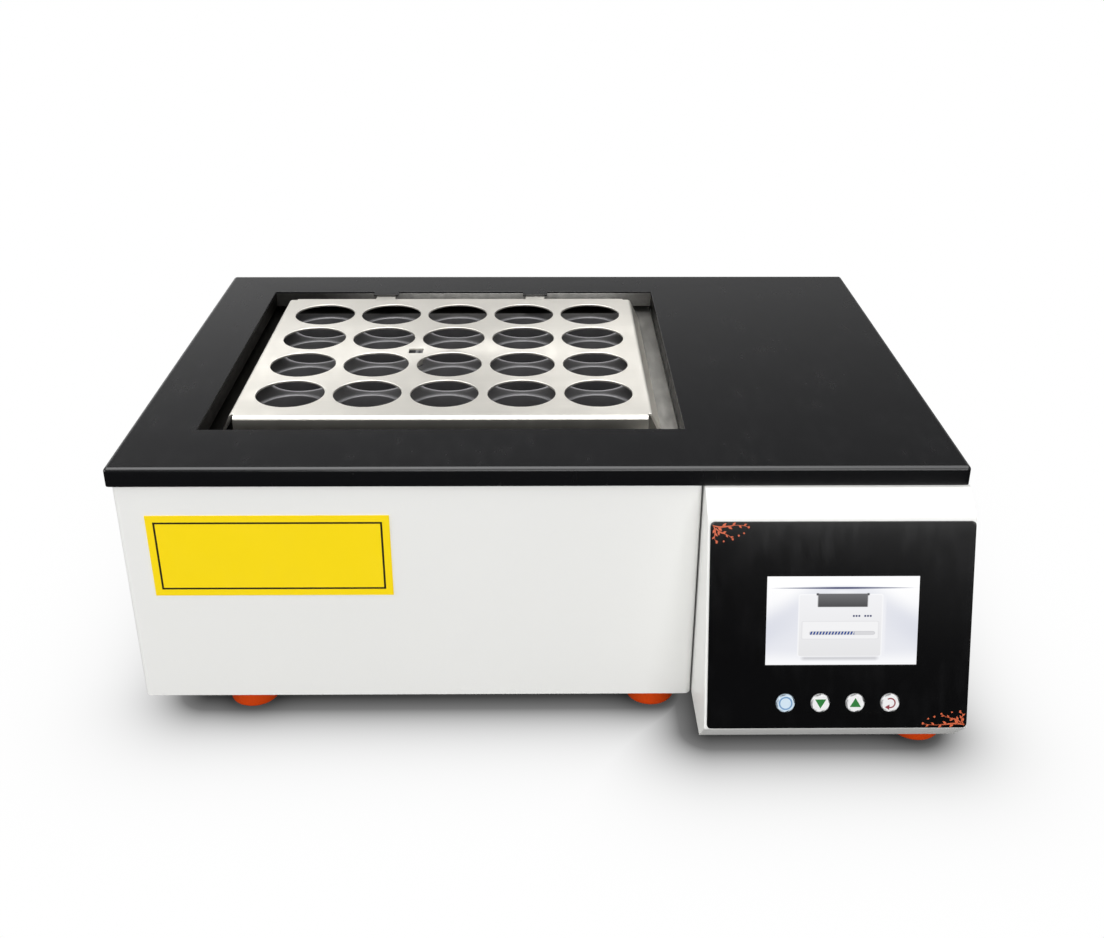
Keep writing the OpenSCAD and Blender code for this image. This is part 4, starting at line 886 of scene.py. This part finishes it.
def corner_ornament(name, corner, turn, span, rise, sizes, tints):
    """Three leafy sprigs from a corner of the panel. turn is (-1 or 1, -1 or 1), into the panel."""
    shape = bmesh.new()
    place = PANEL.place(corner.x, corner.y)
    thick = sizes.print_height
    sx, sy = turn[0] * span, turn[1] * rise
    stems = (
        (((0.02, 0.1), (0.3, 0.36), (0.62, -0.08), (0.98, 0.2)), 0.0009, 6, 0.0034),
        (((0.04, 0.16), (0.16, 0.42), (0.0, 0.7), (0.13, 0.96)), 0.0008, 4, 0.0027),
        (((0.1, 0.24), (0.24, 0.6), (0.4, 0.42), (0.56, 0.8)), 0.0008, 4, 0.0027))
    for stem, width, leaves, leaf in stems:
        sprig(shape, [(x * sx, y * sy) for x, y in stem], width, leaves, leaf, thick, place)
    for x, y, size in ((0.72, 0.62, 0.0006), (0.86, 0.5, 0.0005), (0.32, 0.9, 0.0005)):
        add_outline(shape, arc_points((x * sx, y * sy), size, 0, 345, 14), thick, place)
    return new_piece(name, shape, printed_ink(f"{name}_ink", tints.ornament), "housing")


def ring_sign(shape, sizes, place):
    radius = 0.0039
    outer = arc_points((0, 0), radius, 0, 354, 59)
    inner = arc_points((0, 0), radius - sizes.sign_line, 0, 354, 59)
    add_band(shape, outer, inner, sizes.print_height, place, closed=True)


def arrow_sign(shape, sizes, place, up):
    half, low, high = 0.0032, -0.0023, 0.0031
    outline = [(-half, low * up), (half, low * up), (0, high * up)]
    add_outline(shape, outline[::up], sizes.print_height, place)


def hook_sign(shape, sizes, place):
    """An arc open to the left that ends in an arrow head."""
    radius, line = 0.0027, sizes.sign_line * 0.95
    outer = arc_points((0, 0), radius + line / 2, 125, -110, 40)
    inner = arc_points((0, 0), radius - line / 2, 125, -110, 40)
    add_band(shape, outer, inner, sizes.print_height, place)
    tip = Vector(arc_points((0, 0), radius, -110, -110, 1)[0])
    head = [tip + Vector(p) for p in ((-0.0021, 0.0001), (0.0004, -0.0015), (0.0005, 0.0016))]
    add_outline(shape, [tuple(p) for p in head], sizes.print_height * 1.2, place)


# ---- Screws and feet ----

# Height of a head and radius of its thread, as shares of the head's radius
HEAD_HEIGHT_SHARE = 0.43
THREAD_SHARE = 0.54
THREAD_PITCH = 0.0007


def pan_head(shape, place, radius, height):
    """Domed head of a screw, before its recess is cut."""
    dome = [(radius * math.sin(math.radians(a)), height * (0.28 + 0.72 * math.cos(math.radians(a))))
            for a in range(0, 91, 10)]
    profile = [(0, dome[0][1])] + dome[1:] + [(radius, 0), (0, 0)]
    revolve(shape, profile[::-1], place, 32)


def cross_cutter(place, reach, arm, top, depth):
    """A cross-shaped prism that cuts the recess."""
    shape = bmesh.new()
    a, b = arm / 2, reach / 2
    outline = [(-a, -b), (a, -b), (a, -a), (b, -a), (b, a), (a, a), (a, b), (-a, b), (-a, a), (-b, a),
               (-b, -a), (-a, -a)]
    add_outline(shape, outline, depth + top, place @ Matrix.Translation((0, 0, -depth)))
    return shape


def crossed_head(radius, height, recess):
    """Mesh of one screw head at the origin, head up, with its cross recess cut."""
    shape = bmesh.new()
    pan_head(shape, Matrix.Identity(4), radius, height)
    head = mesh_object("head", shape)
    cutter = mesh_object("cross", cross_cutter(
        Matrix.Translation((0, 0, height)), radius * 1.05, radius * 0.3, 0.002, recess))
    cut = head.modifiers.new("cross", "BOOLEAN")
    cut.operation = "DIFFERENCE"
    cut.solver = "EXACT"
    cut.object = cutter
    graph = bpy.context.evaluated_depsgraph_get()
    mesh = bpy.data.meshes.new_from_object(head.evaluated_get(graph))
    for obj in (head, cutter):
        bpy.data.objects.remove(obj)
    return mesh


def screw_set(node, out, name, sizes):
    """Screws that replace a node: each solid of it becomes a domed crossed head on its threaded shank."""
    turn = out.to_track_quat("Z", "Y").to_matrix().to_4x4()
    shape = bmesh.new()
    heads = {}
    for low, high in islands(node):
        size = high - low
        length = abs(size.dot(out))
        radius = max(s for s in size if abs(s - length) > 1e-6) / 2
        end = (low + high) / 2 + out * length / 2
        height = min(radius * HEAD_HEIGHT_SHARE, length)
        key = round(radius, 6)
        if key not in heads:
            heads[key] = crossed_head(radius, height, sizes.recess_depth)
        place = Matrix.Translation(end - out * height) @ turn
        start = len(shape.verts)
        shape.from_mesh(heads[key])
        shape.verts.ensure_lookup_table()
        for vertex in shape.verts[start:]:
            vertex.co = place @ vertex.co
        thread = radius * THREAD_SHARE
        turns = max(int((length - height) / THREAD_PITCH), 1)
        profile = [(0, height - length)]
        for k in range(turns):
            deep = height - length + k * THREAD_PITCH
            profile += [(thread * 0.86, deep), (thread, deep + THREAD_PITCH / 2)]
        profile += [(thread * 0.9, 0), (0, 0)]
        revolve(shape, profile, place, 16)
    piece = new_piece(name, shape, finish_of("zinc_steel"), "housing")
    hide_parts(node)
    return smooth_faces(piece, 35)


def rubber_foot(node, sizes):
    """Turned rubber foot: rounded rim on the bench, straight cone, flat top and a screw well below."""
    low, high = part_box(node)
    places = [v.co for v in frame["nodes"][node].data.vertices]
    centre = Vector((*middle(node).xy, low.z))
    height = high.z - low.z
    top = (high.x - low.x) / 2
    base = max((p.xy - centre.xy).length for p in places if p.z < low.z + 1e-5)
    rim = sizes.foot_edge
    lean = math.degrees(math.atan2(top - base, height))
    well, deep, lip = base * 0.42, height * 0.3, 0.0008
    profile = [(0, height), (top - 0.0006, height), (top - 0.0001, height - 0.0005),
               (top - 0.0001, height - 0.0014)]
    profile += arc_points((base - rim, rim), rim, lean * 0.4, -90, 8)
    profile += [(well + lip, 0), (well, lip), (well, deep), (0, deep)]
    shape = bmesh.new()
    revolve(shape, profile, Matrix.Translation(centre), sizes.foot_steps)
    piece = new_piece(node.replace("foot", "rubber_foot"), shape, finish_of("orange_rubber"),
                      "housing")
    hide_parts(node)
    return smooth_faces(piece, 40)


# ---- Operators: one for each piece or group of like pieces ----

class DIGESTER_OT_cover(bpy.types.Operator):
    """Black cover over body and control box"""

    bl_idname = "digester.cover"
    bl_label = "Cover"

    def execute(self, context):
        dress(["top_cover"], "black_cover", context.scene.digester_sizes.sheet_edge)
        return {"FINISHED"}


class DIGESTER_OT_guide_plate(bpy.types.Operator):
    """Perforated guide plate, its collar and ledge, and the probe under its slot"""

    bl_idname = "digester.guide_plate"
    bl_label = "Guide plate"

    def execute(self, context):
        edge = context.scene.digester_sizes.sheet_edge
        dress(["guide_plate", "temperature_probe"], "stainless", edge * 1.4)
        tints = context.scene.digester_colours
        # Collar and ledge get painted reflection and painted shade in their colour.
        collar = painted_reflection_steel("collar_steel", tints.scale, tints.collar, reflecting_rear_wall)
        ledge = painted_reflection_steel("ledge_steel", tints.scale, tints.collar, reflecting_right_end)
        coat("opening_collar", collar, edge)
        coat("ledge_frame", ledge, edge)
        return {"FINISHED"}


class DIGESTER_OT_graphite_block(bpy.types.Operator):
    """Graphite block with its wells"""

    bl_idname = "digester.graphite_block"
    bl_label = "Graphite block"

    def execute(self, context):
        dress(["graphite_block"], "graphite", context.scene.digester_sizes.machined_edge)
        return {"FINISHED"}


class DIGESTER_OT_heat_well(bpy.types.Operator):
    """Casing, legs, insulation, pillars, heater plate, heaters and cut-out under the block"""

    bl_idname = "digester.heat_well"
    bl_label = "Heat well"

    def execute(self, context):
        sizes = context.scene.digester_sizes
        boards = [f"insulation_{side}" for side in ("base", "front", "rear", "left", "right")]
        dress(["well_casing", "casing_legs"], "zinc_steel", sizes.sheet_edge)
        dress(boards, "insulation", sizes.moulded_edge)
        dress(["support_pillars", "heater_terminals", "safety_thermostat"], "ceramic", sizes.machined_edge)
        dress(["heater_plate"], "cast_aluminium", sizes.machined_edge)
        dress(["cartridge_heaters"], "stainless", sizes.machined_edge)
        return {"FINISHED"}


class DIGESTER_OT_body(bpy.types.Operator):
    """White body, rear panel and base plate"""

    bl_idname = "digester.body"
    bl_label = "Body"

    def execute(self, context):
        edge = context.scene.digester_sizes.sheet_edge
        dress(["main_shell", "rear_panel"], "white_paint", edge)
        dress(["base_plate"], "zinc_steel", edge)
        return {"FINISHED"}


class DIGESTER_OT_label_plate(bpy.types.Operator):
    """Plain yellow plate with a frame line"""

    bl_idname = "digester.label_plate"
    bl_label = "Label plate"

    def execute(self, context):
        sizes = context.scene.digester_sizes
        film = label_film(context.scene.digester_colours.label, sizes.label_frame_in, sizes.label_frame_line)
        coat("label_plate", film, sizes.sheet_edge / 2)
        return {"FINISHED"}


class DIGESTER_OT_control_box(bpy.types.Operator):
    """White control box with its slanted front, and its rear panel"""

    bl_idname = "digester.control_box"
    bl_label = "Control box"

    def execute(self, context):
        edge = context.scene.digester_sizes.sheet_edge
        dress(["control_box_shell", "control_rear_panel"], "white_paint", edge)
        return {"FINISHED"}


class DIGESTER_OT_control_panel(bpy.types.Operator):
    """Black gloss panel with an ornament in two of its corners"""

    bl_idname = "digester.control_panel"
    bl_label = "Control panel"

    def execute(self, context):
        sizes, tints = context.scene.digester_sizes, context.scene.digester_colours
        dress(["control_panel"], "black_panel", sizes.sheet_edge)
        margin = 0.0008
        x, y = PANEL.width / 2 - margin, PANEL.height / 2 - margin
        corner_ornament("ornament_upper_left", Vector((-x, y)), (1, -1), 0.021, 0.0115, sizes, tints)
        corner_ornament("ornament_lower_right", Vector((x, -y)), (-1, 1), 0.025, 0.0095, sizes, tints)
        return {"FINISHED"}


class DIGESTER_OT_display(bpy.types.Operator):
    """Display face with its lit page, and the module behind it"""

    bl_idname = "digester.display"
    bl_label = "Display"

    def execute(self, context):
        sizes = context.scene.digester_sizes
        dress(["display_glass"], "display", sizes.sheet_edge / 2)
        dress(["display_module", "key_board"], "circuit_board", sizes.sheet_edge)
        dress(["panel_studs"], "zinc_steel", sizes.sheet_edge)
        return {"FINISHED"}


class DIGESTER_OT_keys(bpy.types.Operator):
    """Four round keys with a ring, two arrows and a hook"""

    bl_idname = "digester.keys"
    bl_label = "Keys"

    def execute(self, context):
        sizes, tints = context.scene.digester_sizes, context.scene.digester_colours
        signs = {
            "key_info": ("info_key", tints.sign_blue, ring_sign),
            "key_down": ("down_key", tints.sign_green, lambda *given: arrow_sign(*given, -1)),
            "key_up": ("up_key", tints.sign_green, lambda *given: arrow_sign(*given, 1)),
            "key_return": ("return_key", tints.sign_red, hook_sign)}
        dress(signs, "key_white", sizes.moulded_edge, 3)
        for node, (body, tint, draw) in signs.items():
            shape = bmesh.new()
            draw(shape, sizes, Face(node, RIGHT, PANEL_OUT).place())
            new_piece(f"{node}_sign", shape, printed_ink(f"{node}_ink", tint), body)
        paint(frame["nodes"]["key_info"], key_cap("key_blue_cap", tints.key_blue))
        return {"FINISHED"}


class DIGESTER_OT_electronics(bpy.types.Operator):
    """Boards, relay, heat sink, supply and terminals in the control box"""

    bl_idname = "digester.electronics"
    bl_label = "Electronics"

    def execute(self, context):
        sizes = context.scene.digester_sizes
        dress(["main_board"], "circuit_board", sizes.sheet_edge)
        dress(["board_standoffs", "power_supply"], "zinc_steel", sizes.sheet_edge)
        dress(["relay_heat_sink"], "cast_aluminium", sizes.sheet_edge)
        dress(["solid_state_relay", "terminal_block"], "black_plastic", sizes.moulded_edge)
        return {"FINISHED"}


class DIGESTER_OT_mains(bpy.types.Operator):
    """Mains inlet with pins, switch frame and rocker, earth stud and grommet"""

    bl_idname = "digester.mains"
    bl_label = "Mains inlet and switch"

    def execute(self, context):
        sizes = context.scene.digester_sizes
        dress(["power_inlet", "switch_frame"], "black_plastic", sizes.moulded_edge)
        dress(["inlet_pins", "earth_stud"], "brass", sizes.sheet_edge)
        dress(["switch_rocker"], "red_rocker", sizes.moulded_edge, 3)
        dress(["wall_grommet"], "black_rubber", sizes.moulded_edge)
        return {"FINISHED"}


class DIGESTER_OT_feet(bpy.types.Operator):
    """Six orange rubber feet and their washers and screws"""

    bl_idname = "digester.feet"
    bl_label = "Feet"

    def execute(self, context):
        sizes = context.scene.digester_sizes
        for node in FEET:
            rubber_foot(node, sizes)
        dress(["foot_washers"], "black_rubber", sizes.moulded_edge)
        dress(["foot_screws"], "zinc_steel", sizes.sheet_edge)
        return {"FINISHED"}


class DIGESTER_OT_screws(bpy.types.Operator):
    """Cross-recessed screws at the rear and below, and the bolts that join the boxes"""

    bl_idname = "digester.screws"
    bl_label = "Screws"

    def execute(self, context):
        sizes = context.scene.digester_sizes
        screw_set("cover_screws", REAR, "cover_cross_screws", sizes)
        screw_set("panel_screws", REAR, "panel_cross_screws", sizes)
        screw_set("base_screws", -UP, "base_cross_screws", sizes)
        dress(["joining_bolts"], "zinc_steel", sizes.sheet_edge)
        return {"FINISHED"}


# ---- Studio ----

CAMERA_AT = Vector((0.00056, -0.79032, 0.48831))
CAMERA_YAW = -0.0110
CAMERA_PITCH = 0.4608
CAMERA_ROLL = 0.0026
CAMERA_LENS_MM = 41.47

LIGHTS_AIM = Vector((0, 0, 0.08))
# Name, place, width, depth and power in watts
SOFTBOXES = (
    ("overhead_softbox", (-0.25, -0.1, 1.9), 1.8, 1.4, 14),
    ("front_softbox", (0.3, -2.1, 0.9), 1.6, 1.0, 20),
    ("left_softbox", (-2.2, -0.7, 0.7), 1.2, 1.0, 14))

AMBIENT = 0.62
FLOOR_REACH = 12
FLOOR_MIRRORED = 0.02
FLOOR_GREY = 0.36
# Corner of the floor's painted shadow, and widths over which it is measured, fades from the boxes and from the
# feet
SHADOW_CORNER = 0.02
SHADOW_SPAN = 0.6
SHADOW_FADE = 0.0232
FOOT_FADE = 0.009


def make_camera():
    """Camera at the photograph's angle: yaw to the left, pitch down and a trace of roll."""
    data = bpy.data.cameras.new("camera")
    data.lens = CAMERA_LENS_MM
    data.sensor_width = 36
    data.clip_start = 0.01
    ahead = Vector((-math.sin(CAMERA_YAW) * math.cos(CAMERA_PITCH),
                    math.cos(CAMERA_YAW) * math.cos(CAMERA_PITCH), -math.sin(CAMERA_PITCH)))
    right = Vector((math.cos(CAMERA_YAW), math.sin(CAMERA_YAW), 0))
    up = right.cross(ahead)
    c, s = math.cos(CAMERA_ROLL), math.sin(CAMERA_ROLL)
    right, up = right * c + up * s, up * c - right * s
    obj = new_object("camera", data)
    obj.matrix_world = Matrix.Translation(CAMERA_AT) @ Matrix((right, up, -ahead)).transposed().to_4x4()
    bpy.context.scene.camera = obj


def make_world(ambient):
    """White background. Mirrored rays see it fade with height, a dark room in front and a bright ceiling."""
    world = bpy.data.worlds.new("studio")
    world.use_nodes = True
    world.node_tree.nodes.clear()
    tree = Tree(world.node_tree)
    path = tree.add("ShaderNodeLightPath").node.outputs
    heading = tree.add("ShaderNodeTexCoord", output="Generated")
    x, y, z = (tree.part(heading, axis) for axis in "XYZ")
    behind = tree.times(tree.remap(z, 0.12, 0.45, 0.9, 0.02, True),
                       tree.remap(x, -0.35, 0.35, 1.2, 0.5))
    glow = tree.times(tree.remap(x, 0.12, 0.36, 0.0, 0.45), tree.remap(z, 0.0, 0.1))
    rearward = tree.remap(y, -0.2, 0.2)
    walls = tree.plus(tree.times(rearward, behind),
                      tree.times(tree.minus(1.0, rearward), glow))
    mirrored = tree.plus(walls, tree.remap(z, 0.62, 0.82, 0.0, 3.2, True))
    level = tree.plus(ambient, tree.times(path["Is Glossy Ray"], tree.minus(mirrored, ambient)))
    clear = tree.math("MAXIMUM", path["Is Camera Ray"], path["Is Transmission Ray"])
    light = tree.add("ShaderNodeBackground", inputs={
        "Color": (1, 1, 1), "Strength": tree.math("MAXIMUM", level, clear)})
    tree.add("ShaderNodeOutputWorld", inputs={"Surface": light})
    bpy.context.scene.world = world


def near_box(tree, place, front, rear, left_in, front_in):
    """Distance of a floor point from the area that a box shades, less than 0 inside it.

    The area starts left_in and front_in inside the box.
    """
    low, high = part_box(front)
    start = Vector((low.x + left_in, low.y + front_in, -1))
    end = Vector((high.x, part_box(rear)[1].y, 1))
    mask = tree.group(print_and_shadow_card(), {
        "Place": place, "Centre": (start + end) / 2, "Half size": (end - start) / 2,
        "Corner": SHADOW_CORNER, "Rim": SHADOW_SPAN})
    return tree.times(tree.minus(0.5, mask), SHADOW_SPAN)


def floor_shade(tree, place):
    """How light the floor shows: a painted shadow, dark below the boxes, darker at the feet, fading to white
    outside.
    """
    body = near_box(tree, place, "main_shell", "rear_panel", left_in=0.016, front_in=0.0)
    control_box = near_box(
        tree, place, "control_box_shell", "control_rear_panel", left_in=-0.01, front_in=0.017)
    away = tree.math("MINIMUM", body, control_box)
    dark = tree.math("EXPONENT", tree.math("DIVIDE", tree.plus(away, 0.006), -SHADOW_FADE))
    under = tree.remap(away, -0.014, 0.0, 0.05, 0.2)
    shade = tree.math("MAXIMUM", tree.minus(1.0, dark), under)
    # A painted shadow round each foot
    for node in FEET:
        low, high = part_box(node)
        centre = middle(node)
        reach = tree.vector("DISTANCE", place, (centre.x, centre.y, 0), "Value")
        past = tree.minus(reach, (high.x - low.x) / 2)
        painted_foot_shadow = tree.math("EXPONENT", tree.math("DIVIDE", tree.math("MAXIMUM", past, 0.0), -FOOT_FADE))
        shade = tree.times(shade, tree.minus(1.0, tree.times(painted_foot_shadow, 0.5)))
    return shade


def make_floor():
    """White floor, clear from below, with a painted shadow under the model for camera rays. It lights the model,
    and glossy faces see it dark.
    """
    shape = bmesh.new()
    corners = (-1, -1), (1, -1), (1, 1), (-1, 1)
    shape.faces.new([shape.verts.new((x * FLOOR_REACH, y * FLOOR_REACH, 0)) for x, y in corners])
    floor = mesh_object("studio_floor", shape)
    tree = Material("studio_floor")
    path = tree.add("ShaderNodeLightPath").node.outputs
    white = (1, 1, 1)
    shade = floor_shade(tree, tree.place)
    # Camera rays see the floor white with the painted shadow in it.
    shown = tree.add("ShaderNodeEmission", inputs={"Color": white, "Strength": shade})
    mirrored = tree.add("ShaderNodeEmission", inputs={"Color": white, "Strength": FLOOR_MIRRORED})
    surface = tree.add("ShaderNodeBsdfDiffuse", inputs={"Color": (FLOOR_GREY,) * 3})
    through = tree.add("ShaderNodeBsdfTransparent")
    from_below = tree.add("ShaderNodeNewGeometry", output="Backfacing")
    for when, instead in (
            (path["Is Glossy Ray"], mirrored), (path["Is Camera Ray"], shown), (from_below, through)):
        surface = tree.add("ShaderNodeMixShader", inputs={0: when, 1: surface, 2: instead})
    paint(floor, tree.end(surface))


def softbox(name, at, width, depth, power):
    data = bpy.data.lights.new(name, "AREA")
    data.shape = "RECTANGLE"
    data.size, data.size_y = width, depth
    data.energy = power
    obj = new_object(name, data)
    obj.location = at
    obj.rotation_euler = (LIGHTS_AIM - Vector(at)).to_track_quat("-Z", "Y").to_euler()


class DIGESTER_OT_studio(bpy.types.Operator):
    """Pale floor, soft light and camera"""

    bl_idname = "digester.studio"
    bl_label = "Studio"

    def execute(self, context):
        make_camera()
        make_world(AMBIENT)
        make_floor()
        for light in SOFTBOXES:
            softbox(*light)
        context.scene.view_settings.view_transform = "Standard"
        return {"FINISHED"}


PIECES = (
    DIGESTER_OT_cover, DIGESTER_OT_guide_plate, DIGESTER_OT_graphite_block, DIGESTER_OT_heat_well,
    DIGESTER_OT_body, DIGESTER_OT_label_plate, DIGESTER_OT_control_box, DIGESTER_OT_control_panel,
    DIGESTER_OT_display, DIGESTER_OT_keys, DIGESTER_OT_electronics, DIGESTER_OT_mains,
    DIGESTER_OT_feet, DIGESTER_OT_screws, DIGESTER_OT_studio)


class DIGESTER_PT_sidebar(bpy.types.Panel):
    """Lists the pieces, sizes and colours of the digester"""

    bl_idname = "DIGESTER_PT_sidebar"
    bl_label = "Block digester"
    bl_space_type = "VIEW_3D"
    bl_region_type = "UI"
    bl_category = "Digester"

    def draw(self, context):
        for values in (context.scene.digester_sizes, context.scene.digester_colours):
            box = self.layout.box()
            for name in values.__annotations__:
                box.prop(values, name)
        for piece in PIECES:
            self.layout.operator(piece.bl_idname)


CLASSES = (DigesterSizes, DigesterColours, *PIECES, DIGESTER_PT_sidebar)


def register():
    for cls in CLASSES:
        bpy.utils.register_class(cls)
    bpy.types.Scene.digester_sizes = PointerProperty(type=DigesterSizes)
    bpy.types.Scene.digester_colours = PointerProperty(type=DigesterColours)


def unregister():
    del bpy.types.Scene.digester_colours
    del bpy.types.Scene.digester_sizes
    for cls in reversed(CLASSES):
        bpy.utils.unregister_class(cls)


def main():
    register()
    for piece in PIECES:
        group, name = piece.bl_idname.split(".")
        getattr(getattr(bpy.ops, group), name)()


if __name__ == "__main__":
    main()
